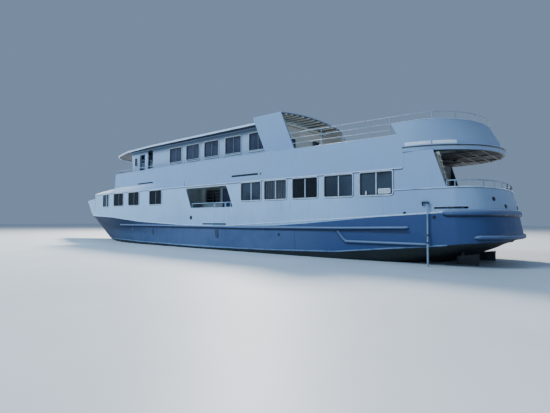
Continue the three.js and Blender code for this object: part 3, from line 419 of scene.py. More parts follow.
# The shelf's top takes painted sunlight forward.
SHELF = ship_paint("shelf_paint", split=False, base=WHITE_SHADED, painted_sun=(1.5, 8))
# The deckhouse's white is darkened as painted shade.
DECKHOUSE = ship_paint("deckhouse_paint", split=False, base=(162, 186, 214), painted_shadows=EAVES_SHADOW)
# The roof's underside takes a painted shade.
ROOF = ship_paint("roof_paint", split=False, under=(62, 70, 80), gloss=0.05)
# The belt's underside and inner faces take a painted shade.
BELT_PAINT = ship_paint("belt_paint", split=False, lining=BELT_SHADE, under=BELT_SHADE)
DECK = deck_paint("deck_paint", WHITE_SHADED)
HULL_DECK = deck_paint("hull_deck_paint", BLUE_AFT)
GLASS = tinted_glass("window_glass", (54, 64, 78), (80, 92, 106))
GLASS_DARK = tinted_glass("window_glass_dark", (16, 20, 26), (34, 40, 48))
GLASS_PALE = tinted_glass("window_glass_pale", (88, 92, 100), (112, 114, 118), 0.6)
GLASS_CLEAR = tinted_glass("window_glass_clear", (150, 168, 182), (176, 192, 204), clear=0.92)
GLASS_UPPER = tinted_glass("window_glass_upper", (64, 72, 94), (80, 88, 110))
RAIL = plain_paint("rail_paint", (156, 170, 186), (124, 138, 150), 6)
RIM_PAINT = plain_paint("rim_paint", (206, 216, 228), (178, 190, 200), 3, rust=0.25)
TRIM = plain_paint("trim_paint", (216, 231, 250), (190, 206, 226), 3, rust=0.2)
BOARD = plain_paint("board_paint", (244, 250, 255), (222, 233, 247), 3, rust=0.1)
# Grey of window reveals and mullions, also the painted shadow strip under the belt.
REVEAL_AND_SHADOW = plain_paint("reveal_and_shadow_paint", (120, 124, 122), (96, 98, 96), 5, rust=0.3)
LADDER_PAINT = plain_paint("ladder_paint", (246, 244, 232), (206, 202, 188), 5)
CREAM = plain_paint("cream_paint", (255, 250, 236), (242, 236, 218), 1.6, rust=0.3)
BULKHEAD = plain_paint("bulkhead_paint", (104, 110, 108), (86, 90, 88), 1.2, rust=0.2)
BAY = plain_paint("bay_paint", (158, 166, 166), (130, 136, 134), 0.8, rust=0.2)
# Dark of the beams under the overhang: painted shade.
OVERHANG_SHADE = plain_paint("overhang_shade_paint", (72, 76, 80), (54, 56, 58), 1.4, rust=0.3)
VENT = plain_paint("vent_paint", (50, 62, 90), (36, 44, 64), 3, rust=0.3)
DOOR_BLUE = plain_paint("wheelhouse_door_paint", (88, 104, 140), (70, 84, 116), 2, rust=0.2)
FENDER = fender_paint("fender_paint")
# Pale blue of the chine bar: a painted highlight of light off the water.
CHINE_HIGHLIGHT = plain_paint("chine_highlight_paint", (112, 138, 170), (78, 104, 140), 2.6, rust=0.3)
BOTTOM_PAINT = plain_paint("bottom_paint", BOTTOM, WEED, 1.8, rough=(0.55, 0.8), bump=0.004, rust=0.3)
NAVY = plain_paint("door_paint", (30, 42, 84), (46, 58, 96), 3, rust=0.15)
STEEL = plain_paint("dark_steel", (70, 74, 78), (96, 92, 86), 5, rust=0.8, metallic=0.3)
BRONZE = plain_paint("bronze", (160, 118, 62), (118, 92, 56), 9, rough=(0.25, 0.5), rust=0.0, metallic=0.9)
# Black for gaskets, rims and the lamp, and painted shade in slots, holes and the scupper.
BLACK = plain_paint("black_rubber_and_shade", (24, 25, 27), (42, 42, 42), 12, rough=(0.6, 0.85), rust=0.0)

# The paint of each CAD node; @ stands for the side

NODE_PAINT = {
    SHIP: ["bow_bulwark", "gate_@"],
    STERN_PAINT: ["stern_bulwark"],
    SIDE_PAINT: ["main_fore_end", "main_side_fore_@", "main_side_aft_@"],
    WING: ["wing_@"],
    SHELF: ["fore_house_top"],
    HOUSE: ["upper_bulwark_@", "upper_bulwark_front", "upper_stern_bulwark", "canopy", "wheelhouse_front",
            "fore_hatch", "main_aft_door"],
    DECKHOUSE: ["deckhouse_side_@"],
    ROOF: ["roof"],
    DOOR_BLUE: ["wheelhouse_door_@"],
    BULKHEAD: ["main_aft_bulkhead"],
    BAY: ["bay_recess_@"],
    LADDER_PAINT: ["ladder"],
    CREAM: ["deckhouse_aft", "upper_aft_door"],
    DECK: ["upper_deck", "engine_hatch"],
    HULL_DECK: ["hull_topsides"],
    RAIL: ["upper_rail", "fore_rail", "stern_rail"],
    FENDER: ["rub_rail_@", "stern_fender_upper", "stern_fender_lower"],
    BOTTOM_PAINT: ["hull_bottom"],
    GLASS: ["main_glazing_aft_@", "main_glazing_fore_@", "upper_glazing_@"],
    NAVY: ["bay_door_@"],
    STEEL: ["shaft_@", "engines", "helm_console", "overboard_pipe", "rudder_@"],
    BRONZE: ["propeller_@"],
}


def each_side(name):
    return [name.replace("@", side) for side in ("port", "stbd")] if "@" in name else [name]


for paint, names in NODE_PAINT.items():
    for node_name in [one for name in names for one in each_side(name)]:
        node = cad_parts[node_name]
        node.data.materials.clear()
        node.data.materials.append(paint)

# Mesh building


class Piece:
    """Closed forms gathered into one mesh; kind picks the paint of what is added next."""

    def __init__(self, *paints):
        self.verts = []
        self.faces = []
        self.kinds = []
        self.paints = paints
        self.kind = 0

    def add(self, verts, faces):
        start = len(self.verts)
        self.verts.extend(Vector(v) for v in verts)
        self.faces.extend([start + i for i in face] for face in faces)
        self.kinds.extend([self.kind] * len(faces))

    def rings(self, rings, round_again=False):
        """A skin over rings of equal count, capped unless it comes round again."""
        n, count = len(rings[0]), len(rings)
        faces = []
        for r in range(count if round_again else count - 1):
            a, b = r * n, (r + 1) % count * n
            faces += [[a + i, a + (i + 1) % n, b + (i + 1) % n, b + i] for i in range(n)]
        if not round_again:
            faces += [list(range(n))[::-1], [(count - 1) * n + i for i in range(n)]]
        self.add([p for ring in rings for p in ring], faces)

    def box(self, x, y, z):
        self.rings([[(x[0], y[0], h), (x[1], y[0], h), (x[1], y[1], h), (x[0], y[1], h)] for h in z])

    def sweep(self, path, section, out, up=None, sizes=None):
        """A section (w outward, v upward) carried along a path; out is a vector or one a point."""
        path = [Vector(p) for p in path]
        rings = []
        for i, p in enumerate(path):
            w = Vector(out[i] if isinstance(out, list) else out)
            v = Vector(up) if up else heading(path, i).cross(w)
            v = -v if v.z < 0 else v
            size = sizes[i] if sizes else 1
            rings.append([p + (w * a + v * b) * size for a, b in section])
        self.rings(rings)

    def tube(self, path, radius, sides=12):
        path = [Vector(p) for p in path]
        side = None
        rings = []
        for i, p in enumerate(path):
            along = heading(path, i)
            if side is None:
                side = along.cross(UP if abs(along.z) < 0.9 else OUT)
            side = (side - along * side.dot(along)).normalized()
            rings.append([p + way * radius for way in round_about(side, along.cross(side), sides)])
        self.rings(rings)

    def lathe(self, profile, base, axis=UP, sides=20):
        """Radii and heights (r, h) turned about an axis through base."""
        axis = Vector(axis).normalized()
        side = axis.orthogonal().normalized()
        ways = round_about(side, axis.cross(side), sides)
        self.rings([[Vector(base) + axis * h + way * r for way in ways] for r, h in profile])

    def shell(self, outer, inner, keep=lambda i, j: True):
        """Two grids of points as one thin closed shell, without the cells that keep refuses."""
        cols, rows = len(outer) - 1, len(outer[0]) - 1
        wide = rows + 1
        back = len(outer) * wide
        cells = {(i, j) for i in range(cols) for j in range(rows) if keep(i, j)}
        faces = []
        for i, j in sorted(cells):
            a, b = i * wide + j, (i + 1) * wide + j
            c, d = b + 1, a + 1
            faces += [[a, b, c, d], [back + d, back + c, back + b, back + a]]
            sides = (((i, j - 1), a, b), ((i + 1, j), b, c), ((i, j + 1), c, d), ((i - 1, j), d, a))
            faces += [[q, p, back + p, back + q] for near, p, q in sides if near not in cells]
        points = [p for grid in (outer, inner) for col in grid for p in col]
        used = sorted({k for f in faces for k in f})
        at = {k: n for n, k in enumerate(used)}
        self.add([points[k] for k in used], [[at[k] for k in f] for f in faces])

    def mirrored(self):
        other = Piece(*self.paints)
        other.verts = [flip(v) for v in self.verts]
        other.faces = [f[::-1] for f in self.faces]
        other.kinds = self.kinds
        return other

    def add_mirror_image(self):
        other = self.mirrored()
        self.add(other.verts, other.faces)

    def place(self, name, slot, body="hull", bevel=0.0, replaces=(), angle=32):
        """One object, or with @ in its name one to port and its mirror image to starboard."""
        if "@" in name:
            for side, piece in (("port", self), ("stbd", self.mirrored())):
                own, its_body, *nodes = [text.replace("@", side) for text in (name, body, *replaces)]
                piece.place(own, slot, its_body, bevel, nodes, angle)
            return
        data = bpy.data.meshes.new(name)
        data.from_pydata(self.verts, [], self.faces)
        for paint in self.paints:
            data.materials.append(paint)
        data.polygons.foreach_set("material_index", self.kinds)
        work = bmesh.new()
        work.from_mesh(data)
        bmesh.ops.recalc_face_normals(work, faces=work.faces)
        work.to_mesh(data)
        work.free()
        data.shade_smooth()
        data.set_sharp_from_angle(angle=math.radians(angle))
        obj = bpy.data.objects.new(name, data)
        bpy.context.collection.objects.link(obj)
        if bevel:
            edges = obj.modifiers.new("edges", "BEVEL")
            edges.width = bevel
            edges.segments = 2
            edges.limit_method = "ANGLE"
            edges.angle_limit = math.radians(40)
            edges.harden_normals = True
        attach(obj, body)
        if replaces:
            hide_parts(*replaces)


def round_about(side, other, count):
    """Directions all round, from side over other."""
    turns = [2 * math.pi * k / count for k in range(count)]
    return [side * math.cos(t) + other * math.sin(t) for t in turns]


def heading(path, i):
    """Direction of a path at point i."""
    ahead, behind = path[min(i + 1, len(path) - 1)], path[max(i - 1, 0)]
    return (Vector(ahead) - Vector(behind)).normalized()


def to_left(path):
    """The level direction to the left of a path at each of its points."""
    return [UP.cross(heading(path, i)).normalized() for i in range(len(path))]


def flip(p):
    """A point or direction on the other side of the ship."""
    return type(p)((p[0], -p[1], *p[2:]))


def across(half):
    """The port half of a line, carried on over the centreline to starboard."""
    return half + [flip(p) for p in half[-2::-1]]


def part_way(a, b, share):
    return a + (b - a) * share


def steps(a, b, size):
    count = max(math.ceil(abs(b - a) / size), 1)
    return [part_way(a, b, k / count) for k in range(count + 1)]


def half_round(tall, out, count=8):
    """A D with its flat on the plate, as (w, v) points."""
    turns = [math.pi * k / count for k in range(count + 1)]
    return [(out * math.sin(t), -tall / 2 * math.cos(t)) for t in turns]


def soft_ends(path, outs, reach, count=5):
    """A path with extra points near both ends, and sizes that round the ends off."""
    path = [Vector(p) for p in path]

    def end(a, b):
        along = (b - a).normalized()
        turns = [math.pi / 2 * k / count for k in range(count)]
        rows = [(a + along * reach * (1 - math.cos(t)), max(math.sin(t), 0.05)) for t in turns]
        return rows + [(a + along * reach, 1)]
    rows = end(path[0], path[1]) + [(p, 1) for p in path[1:-1]] + end(path[-1], path[-2])[::-1]
    outs = [outs[0]] * (count + 1) + outs[1:-1] + [outs[-1]] * (count + 1)
    return [p for p, _ in rows], outs, [s for _, s in rows]


def fillet(path, radius, count=5):
    """A polyline with its corners rounded."""
    path = [Vector(p) for p in path]
    out = [path[0]]
    for a, b, c in zip(path, path[1:], path[2:]):
        u, v = a - b, c - b
        reach = min(radius, u.length * 0.45, v.length * 0.45)
        p, q = b + u.normalized() * reach, b + v.normalized() * reach
        out += [p.lerp(b, k / count).lerp(b.lerp(q, k / count), k / count) for k in range(count + 1)]
    return out + [path[-1]]


def rounded(half_u, half_v, radius, count=5):
    """A rounded rectangle round the origin, as (u, v) points."""
    radius = max(min(radius, half_u * 0.98, half_v * 0.98), 0.001)
    points = []
    for k, (su, sv) in enumerate(((1, 1), (-1, 1), (-1, -1), (1, -1))):
        for t in (math.pi / 2 * (k + i / count) for i in range(count + 1)):
            points.append((su * (half_u - radius) + radius * math.cos(t),
                           sv * (half_v - radius) + radius * math.sin(t)))
    return points


class Wall:
    """A wall's own directions: u along it, v up it and w out of it."""

    def __init__(self, origin, u=AFT, v=UP, w=OUT):
        self.origin, self.u, self.v, self.w = (Vector(k) for k in (origin, u, v, w))

    def at(self, u, v, w):
        return self.origin + self.u * u + self.v * v + self.w * w

    def moved(self, u, v):
        """The same wall with its origin elsewhere on it."""
        return Wall(self.at(u, v, 0), self.u, self.v, self.w)

    def plate(self, piece, outline, w):
        piece.rings([[self.at(u, v, h) for u, v in outline] for h in w])

    def box(self, piece, u, v, w):
        self.plate(piece, ((u[0], v[0]), (u[1], v[0]), (u[1], v[1]), (u[0], v[1])), w)

    def frame(self, piece, half_u, half_v, radius, profile, count=5):
        """A closed ring; profile gives (margin beyond the opening, w) round its section."""
        piece.rings([[self.at(u, v, w) for u, v in rounded(half_u + m, half_v + m, radius + m, count)]
                     for m, w in profile], True)


# Hull form

# Stations: main deck edge (x, y), rub line (x, y), chine and lower chine (x, y, z), keel (x, z)
STATIONS = [
    (17.036, 0, 16.05, 0, 14.2, 0, 0.15, 13.0, 0, -0.62, 11.8, -1.25),
    (15.528, 0.85, 14.6, 0.74, 12.9, 0.6, 0.17, 11.9, 0.43, -0.65, 10.8, -1.25),
    (13.812, 1.6, 13.0, 1.42, 11.5, 1.18, 0.2, 10.6, 0.88, -0.7, 9.8, -1.25),
    (11.838, 2.421, 11.2, 2.14, 9.9, 1.85, 0.22, 9.2, 1.4, -0.75, 8.6, -1.25),
    (10.2, 2.637, 9.5, 2.5, 8.4, 2.28, 0.24, 7.9, 1.74, -0.8, 7.5, -1.25),
    (8.2, 2.9, 7.6, 2.79, 6.8, 2.58, 0.24, 6.5, 1.98, -0.82, 6.3, -1.25),
    (4.5, 2.9, 4.5, 2.89, 4.5, 2.74, 0.2, 4.5, 2.1, -0.85, 4.5, -1.25),
    (-2.0, 2.9, -2.0, 2.9, -2.0, 2.78, 0.14, -2.0, 2.15, -0.85, -2.0, -1.25),
    (-8.0, 2.9, -8.0, 2.9, -8.0, 2.79, 0.22, -8.0, 2.15, -0.78, -8.0, -1.23),
    (-12.0, 2.9, -12.0, 2.9, -12.0, 2.8, 0.34, -12.0, 2.15, -0.52, -12.0, -1.08),
    (-14.6, 2.9, -14.6, 2.9, -14.6, 2.81, 0.6, -14.6, 2.1, -0.06, -14.6, -0.7),
    (-16.0, 2.9, -16.0, 2.9, -16.0, 2.82, 0.73, -15.9, 2.0, 0.25, -15.9, -0.13),
    (-16.87, 2.9, -16.87, 2.9, -16.87, 2.86, 0.82, -16.8, 1.95, 0.52, -16.8, 0.21),
    (-17.3, 2.87, -17.34, 2.87, -17.34, 2.85, 0.88, -17.25, 1.85, 0.66, -17.25, 0.4),
    (-17.95, 2.546, -18.02, 2.546, -18.02, 2.54, 0.94, -17.85, 1.6, 0.8, -17.85, 0.64),
    (-18.32, 1.938, -18.44, 1.938, -18.44, 1.93, 0.98, -18.15, 1.25, 0.9, -18.15, 0.8),
    (-18.51, 1.054, -18.64, 1.054, -18.64, 1.05, 1.0, -18.35, 0.7, 0.935, -18.35, 0.87),
    (-18.57, 0.38, -18.7, 0.38, -18.7, 0.376, 1.01, -18.45, 0.26, 0.94, -18.45, 0.885),
]
BREADTHS = (1, 3, 5, 8)
FORE_EDGE = [(17.75, 0), (16.2, 0.88), (14.4, 1.62), (12.3, 2.36)]
BOW_SPANS, STERN_SPAN = 3, 12
RUB = 1.26
GATE_X = (-4.768, -3.832)
SCUPPER_X = (-4.86, -2.77)
SKIN_Z = (1.95, 1.88, 1.8, 1.7, 1.62, 1.54, 1.5, 1.46, 1.36, 1.26)
FORE_ROWS, LOW_ROWS = 4, 6
PROUD = 0.0004


def smooth_row(rows, i, t):
    """A smooth row of numbers between rows i and i + 1."""
    near = [rows[min(max(k, 0), len(rows) - 1)] for k in range(i - 1, i + 3)]
    return [q + 0.5 * t * (r - p + t * (2 * p - 5 * q + 4 * r - s + t * (3 * (q - r) + s - p)))
            for p, q, r, s in zip(*near)]


def straight_row(rows, i, t):
    return [part_way(a, b, t) for a, b in zip(rows[i], rows[i + 1])]


def thirds(rows):
    """Rows with two more in each span of the curved bow and stern."""
    out = []
    for i in range(len(rows) - 1):
        curved = i < BOW_SPANS or i >= STERN_SPAN
        out += [smooth_row(rows, i, k / 3) for k in range(3)] if curved else [rows[i]]
    return out + [rows[-1]]


RINGS = thirds(STATIONS)
FORE_LINE = thirds(FORE_EDGE)
BOW_RINGS = 3 * BOW_SPANS
STERN_RING = BOW_RINGS + STERN_SPAN - BOW_SPANS


def hull_columns():
    """Every column of the skin as (ring, share, row): close together, with edges at the openings."""
    columns = []
    for i in range(len(RINGS) - 1):
        ahead, behind = RINGS[i][0], RINGS[i + 1][0]
        curved = i < BOW_RINGS or i >= STERN_RING
        count = max(math.ceil((ahead - behind) / 0.1), 3)
        stops = {k / count for k in range(count)}
        if not curved:
            stops |= {(ahead - x) / (ahead - behind) for x in GATE_X + SCUPPER_X if behind < x < ahead}
        row = smooth_row if curved else straight_row
        columns += [(i, t, row(RINGS, i, t)) for t in sorted(stops)]
    columns.append((len(RINGS) - 1, 0, RINGS[-1]))
    for k in (0.5, 0.0):
        row = [v * k if n in BREADTHS else v - 0.004 * (1 - k) for n, v in enumerate(RINGS[-1])]
        columns.append((len(RINGS) - 1, 0, row))
    return columns


COLUMNS = hull_columns()


def skin_column(ring, share, row):
    """Points from the foredeck edge down to the chine."""
    deck, rub = Vector((row[0], row[1], MAIN_DECK)), Vector((row[2], row[3], RUB))
    chine = Vector(row[4:7])
    edge = deck + UP * (FOREDECK - MAIN_DECK)
    if ring < BOW_RINGS:
        edge = Vector((*smooth_row(FORE_LINE, ring, share), FOREDECK))
    points = [edge.lerp(deck, k / FORE_ROWS) for k in range(FORE_ROWS)]
    points += [deck.lerp(rub, (MAIN_DECK - z) / (MAIN_DECK - RUB)) for z in SKIN_Z]
    return points + [rub.lerp(chine, k / LOW_ROWS) for k in range(1, LOW_ROWS + 1)]


def stand_off(p, row):
    """How far the skin stands off the solid: most at frames and stringers, least between them."""
    bay = abs(math.sin(math.pi * p.x / FRAME_SPACE)) ** 0.8
    if row < FORE_ROWS:
        band = row / FORE_ROWS
    elif row < FORE_ROWS + len(SKIN_Z):
        band = (MAIN_DECK - p.z) / (MAIN_DECK - RUB)
    else:
        band = (row - FORE_ROWS - len(SKIN_Z) + 1) / LOW_ROWS
    fore = min(max((p.x - 5) / 4, 0), 1)
    deep = part_way(0.003, 0.009, fore)
    stand = part_way(0.0015, 0.005, fore) + deep * (1 - bay * math.sin(math.pi * min(max(band, 0), 1)))
    if p.x < 12 and p.z > 1.8:
        stand *= max(0.15, (MAIN_DECK - p.z) / 0.15)
    return stand


def solid_tree(pieces, nodes):
    """The given forms as one tree that rays can be cast on."""
    verts, faces = [], []
    for piece in pieces:
        faces += [[len(verts) + i for i in f] for f in piece.faces]
        verts += piece.verts
    for name in nodes:
        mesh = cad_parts[name].data
        faces += [[len(verts) + i for i in p.vertices] for p in mesh.polygons]
        verts += [v.co.copy() for v in mesh.vertices]
    return BVHTree.FromPolygons(verts, faces)


TOPSIDES = solid_tree([], ["hull_topsides"])


def on_plating(p, way):
    """The point p, or the faceted plating of either side where that stands further out."""
    proud = 0
    for side in (1, -1):
        to_side = Vector((1, side, 1))
        hit = TOPSIDES.ray_cast((p + way * 0.1) * to_side, -way * to_side, 0.2)[0]
        if hit:
            proud = max(proud, (hit * to_side - p).dot(way))
    return p + way * proud


def hull_skin():
    grid = [skin_column(*c) for c in COLUMNS]
    last = len(grid) - 1
    outer, inner = [], []
    for i, col in enumerate(grid):
        out_col, in_col = [], []
        for j, p in enumerate(col):
            if i == last:
                normal = Vector(AFT)
            else:
                along = grid[i + 1][j] - grid[max(i - 1, 0)][j]
                down = col[min(j + 1, len(col) - 1)] - col[max(j - 1, 0)]
                normal = down.cross(along).normalized()
                if normal.dot(Vector((p.x + 10, p.y * 4 + 0.01, 0))) < 0:
                    normal = -normal
            base = on_plating(p, normal)
            out_col.append(base + normal * stand_off(p, j))
            in_col.append(base + normal * PROUD)
        outer.append(out_col)
        inner.append(in_col)
    fore_end = sum(1 for ring, _, _ in COLUMNS if ring < BOW_RINGS)
    notch, scupper = FORE_ROWS + SKIN_Z.index(1.5), FORE_ROWS + SKIN_Z.index(1.54)

    def keep(i, j):
        """No skin above the deck abaft the foredeck, in the gates or in the scuppers."""
        i = i if i < last else 2 * last - 1 - i
        x = (grid[i][FORE_ROWS].x + grid[i + 1][FORE_ROWS].x) / 2
        if j < FORE_ROWS and i >= fore_end:
            return False
        if FORE_ROWS <= j < notch and GATE_X[0] < x < GATE_X[1]:
            return False
        return not (j in (scupper, scupper + 1) and SCUPPER_X[0] < x < SCUPPER_X[1])

    def both(cols):
        return cols + [[flip(p) for p in col] for col in cols[-2::-1]]
    skin = Piece(SHIP)
    skin.shell(both(outer), both(inner), keep)
    return skin


skin = hull_skin()
skin.place("hull_skin", "hull_blue", angle=40)
SIDE_NODES = ("hull_topsides", "main_side_aft_@", "main_side_fore_@", "stern_bulwark", "bow_bulwark",
              "main_fore_end", "gate_@", "bay_recess_@")
SIDE = solid_tree([skin], [one for name in SIDE_NODES for one in each_side(name)])
STERN_HUB = -15.9


def side_at(x, z):
    """The port side at x, z, and the way out of it."""
    for beside in (0, 0.004, -0.004):
        hit, normal, _, _ = SIDE.ray_cast(Vector((x + beside, 6, z)), -OUT)
        if hit:
            return hit, normal if normal.y > 0 else -normal
    raise ValueError(f"no side at {x:.3f}, {z:.3f}")


def stern_at(angle, z):
    """The stern at an angle from dead astern, port positive, and the way out of it."""
    way = Vector((-math.cos(angle), math.sin(angle), 0))
    hit, normal, _, _ = SIDE.ray_cast(Vector((STERN_HUB, 0, z)) + way * 6, -way)
    return hit, normal if normal.dot(way) > 0 else -normal


def along_side(a, b, z, size=0.3):
    """A path on the port side from x = a to x = b at height z(x), with the ways out."""
    hits = [side_at(x, z(x)) for x in steps(a, b, size)]
    return [h for h, _ in hits], [n for _, n in hits]


def round_stern(start, z, turns=48):
    """A path from x = start to port, round the stern, to x = start on the other side."""
    path, outs = along_side(start, max(STERN_HUB + 0.05, start - 0.02), z)
    if start < STERN_HUB:
        path, outs = path[:1], outs[:1]
    hits = []
    for k in range(1, turns):
        angle = math.pi / 2 - math.pi * k / turns
        hit = stern_at(angle, z(STERN_HUB - 2.6 * math.cos(angle)))
        if hit[0].x < start - 0.03:
            hits.append(hit)
    other, other_outs = [flip(p) for p in path[::-1]], [flip(n) for n in outs[::-1]]
    return path + [h for h, _ in hits] + other, outs + [n for _, n in hits] + other_outs


def level(z):
    return lambda x: z


def by_table(table):
    """A height that runs straight between points (x, z)."""
    table = sorted(table)

    def height(x):
        if x <= table[0][0]:
            return table[0][1]
        for (x0, z0), (x1, z1) in zip(table, table[1:]):
            if x <= x1:
                return part_way(z0, z1, (x - x0) / (x1 - x0))
        return table[-1][1]
    return height


def plate_on(cols, proud, under=0.001):
    """The outer and inner grid of a thin plate that lies on points with their ways out."""
    return [[[p + way * distance for p, way in col] for col in cols] for distance in (proud, under)]


# Mouldings and fenders

SHEER_Z = by_table(SHEER)
SHEER_BAR = half_round(0.066, 0.036, 6)
GATE_CLEAR = 0.05
trim = Piece(TRIM)
path, outs = along_side(17.3, GATE_X[1] + GATE_CLEAR, SHEER_Z)
trim.sweep(path, SHEER_BAR, outs)
trim.add_mirror_image()
path, outs = round_stern(GATE_X[0] - GATE_CLEAR, SHEER_Z)
trim.sweep(path, SHEER_BAR, outs)
trim.place("sheer_moulding", "hull_white")

# Sections are drawn from their lower edge to the middle; the upper half is the same
D_RAIL = across([(-0.004, -0.072), (0.03, -0.074), (0.062, -0.058), (0.083, -0.026), (0.088, 0.0)])
BIG_D = across([(-0.01, -0.125), (0.04, -0.125), (0.08, -0.105), (0.103, -0.065), (0.11, 0.0)])
BIG_D_TALL = 0.25
RUB_UNDER = by_table([(7.1, 1.27), (-6.4, 1.25), (-12.4, 1.30), (-15.2, 1.35), (-15.5, 1.36)])
RUB_HALF = 0.075
DIAGONAL = [(-12.18, 1.25), (-12.33, 1.05), (-12.48, 0.88), (-12.60, 0.80)]
LOWER_FENDER_Z = 0.8

fender = Piece(FENDER)
path, outs = along_side(7.1, -15.45, lambda x: RUB_UNDER(x) + RUB_HALF)
path, outs, sizes = soft_ends(path, outs, 0.12)
fender.sweep(path, D_RAIL, outs, sizes=sizes)
hits = [side_at(x, z) for x, z in DIAGONAL]
fender.sweep([h for h, _ in hits], D_RAIL, [n for _, n in hits])
path, outs = along_side(-12.50, -16.14, level(LOWER_FENDER_Z))
path, outs, sizes = soft_ends(path, outs, 0.10)
fender.sweep(path, D_RAIL, outs, sizes=sizes)
fender.place("fender_@", "fender_blue", replaces=["rub_rail_@"])


def stern_belt(name, start, z, tall, node):
    """A heavy fender round the stern, with soft ends."""
    piece = Piece(FENDER)
    path, outs = round_stern(start, level(z))
    outs = [Vector((n.x, n.y, 0)).normalized() for n in outs]
    path, outs, sizes = soft_ends(path, outs, 0.24)
    piece.sweep(path, [(w, v * tall / BIG_D_TALL) for w, v in BIG_D], outs, up=UP, sizes=sizes)
    piece.place(name, "fender_blue", replaces=[node])


stern_belt("stern_fender_above", -16.7, 1.995, 0.25, "stern_fender_upper")
stern_belt("stern_fender_below", -17.75, 1.105, 0.19, "stern_fender_lower")

# The thin ledge at the top of the main deck bulwark, and the moulding above the windows

LEDGE_BAR = half_round(0.04, 0.04, 6)
MOULDING_BAR = [(-0.002, -0.02), (0.052, -0.02), (0.058, -0.014), (0.058, 0.014), (0.052, 0.02),
                (-0.002, 0.024)]
ledge = Piece(TRIM)
path, outs = along_side(-14.8, STERN_HUB + 0.05, level(LEDGE_Z))
ledge.sweep(path, LEDGE_BAR, outs)
path, outs = round_stern(-15.55, level(LEDGE_Z))
ledge.sweep(path, LEDGE_BAR, outs)
path, outs = along_side(12.1, HOUSE_AFT, level(MOULDING_Z))
ledge.sweep(path, MOULDING_BAR, outs)
ledge.sweep([flip(p) for p in path], MOULDING_BAR, [flip(n) for n in outs])
ledge.place("house_mouldings", "hull_white")

# Windows; each point of a profile is (margin beyond the opening, distance out of the wall)

RIM = [(0.058, 0.0), (0.056, 0.024), (0.048, 0.036), (0.030, 0.038), (0.012, 0.032), (0.002, 0.018),
       (0.002, 0.0)]
SLEEVE_FRONT = [(0.004, 0.010), (-0.006, 0.008)]
SLEEVE_BACK = [(-0.010, -0.050), (-0.026, -0.050), (-0.026, -0.058), (0.004, -0.058)]
# A black ring round the rim's foot: a sealant bead, drawn black as a painted shadow round the rim.
SEALANT_SHADOW_RING = [(0.074, 0.0), (0.072, 0.005), (0.054, 0.006), (0.054, 0.0)]
GASKET = [(-0.022, -0.050), (-0.022, -0.036), (-0.038, -0.036), (-0.038, -0.050)]
CORNER_R = 0.06
RIM_KIND, SEAL_KIND, REVEAL_KIND = 0, 1, 2
MULLION_HALF, BAR_HALF = 0.021, 0.012
PANE_MARGIN, PANE_BACK, PANE_FRONT = 0.02, -0.0055, 0.002


def window_pieces(*glass):
    return Piece(RIM_PAINT, BLACK, REVEAL_AND_SHADOW), Piece(*glass)


def window(frames, panes, wall, half_u, half_v, splits=(0.0,), bars=(), depth=0.0, mullion=RIM_KIND):
    """A rim with its gasket round an opening, mullions at the splits, and a pane between each."""
    def ring(kind, profile, back=0.0):
        """A profile in one paint round the opening, set back into the wall."""
        frames.kind = kind
        wall.frame(frames, half_u, half_v, CORNER_R, [(m, w - back) for m, w in profile])
    ring(RIM_KIND, RIM)
    ring(REVEAL_KIND, SLEEVE_FRONT + [(m, w - depth) for m, w in SLEEVE_BACK])
    back = -0.05 - depth
    reach_u, reach_v = half_u - PANE_MARGIN, half_v - PANE_MARGIN
    frames.kind = mullion
    for u in splits:
        wall.box(frames, (u - MULLION_HALF, u + MULLION_HALF), (-reach_v, reach_v), (back, back + 0.026))
    for v in bars:
        wall.box(frames, (-reach_u, reach_u), (v - BAR_HALF, v + BAR_HALF), (back, back + 0.02))
    ring(SEAL_KIND, GASKET, depth)
    ring(SEAL_KIND, SEALANT_SHADOW_RING)
    stops = [-reach_u, *splits, reach_u]
    for a, b in zip(stops, stops[1:]):
        wall.box(panes, (a, b), (-reach_v, reach_v), (back + PANE_BACK, back + PANE_FRONT))


SILL, HEAD = 2.791, 3.735
WINDOW_Z = (SILL + HEAD) / 2
WINDOW_W = 1.452
FORE_WINDOWS = (8.04, 5.84, 3.02)
AFT_WINDOWS = (-6.06, -7.78, -9.64, -11.49, -13.31)
UPPER_WINDOWS = (1.96, 0.08, -1.79, -3.76, -5.77)
MAIN_SIZE = (WINDOW_W, SILL, HEAD, HALF_BEAM)
UPPER_SIZE = (1.34, 5.62, 6.65, HOUSE_Y)


def window_row(name, node, places, size, glass, tints=(), mullion=REVEAL_KIND):
    """A row of windows on both sides, from their fore edges; tints picks the glass of each."""
    width, sill, head, y = size
    frames, panes = window_pieces(*glass)
    for k, fore in enumerate(places):
        panes.kind = tints[k] if tints else 0
        wall = Wall((fore - width / 2, y, (sill + head) / 2))
        window(frames, panes, wall, width / 2, (head - sill) / 2, mullion=mullion)
    panes.place(f"{name}_window_panes_@", "window_glass", replaces=[node])
    frames.place(f"{name}_window_frames_@", "hull_white")


window_row("fore", "main_glazing_fore_@", FORE_WINDOWS, MAIN_SIZE, (GLASS_DARK,))
window_row("aft", "main_glazing_aft_@", AFT_WINDOWS, MAIN_SIZE, (GLASS, GLASS_DARK, GLASS_PALE),
           (0, 2, 1, 0, 0), RIM_KIND)
window_row("upper", "upper_glazing_@", UPPER_WINDOWS, UPPER_SIZE, (GLASS_UPPER,))

# What shows in the windows: a brace, a canister and a cooler's front

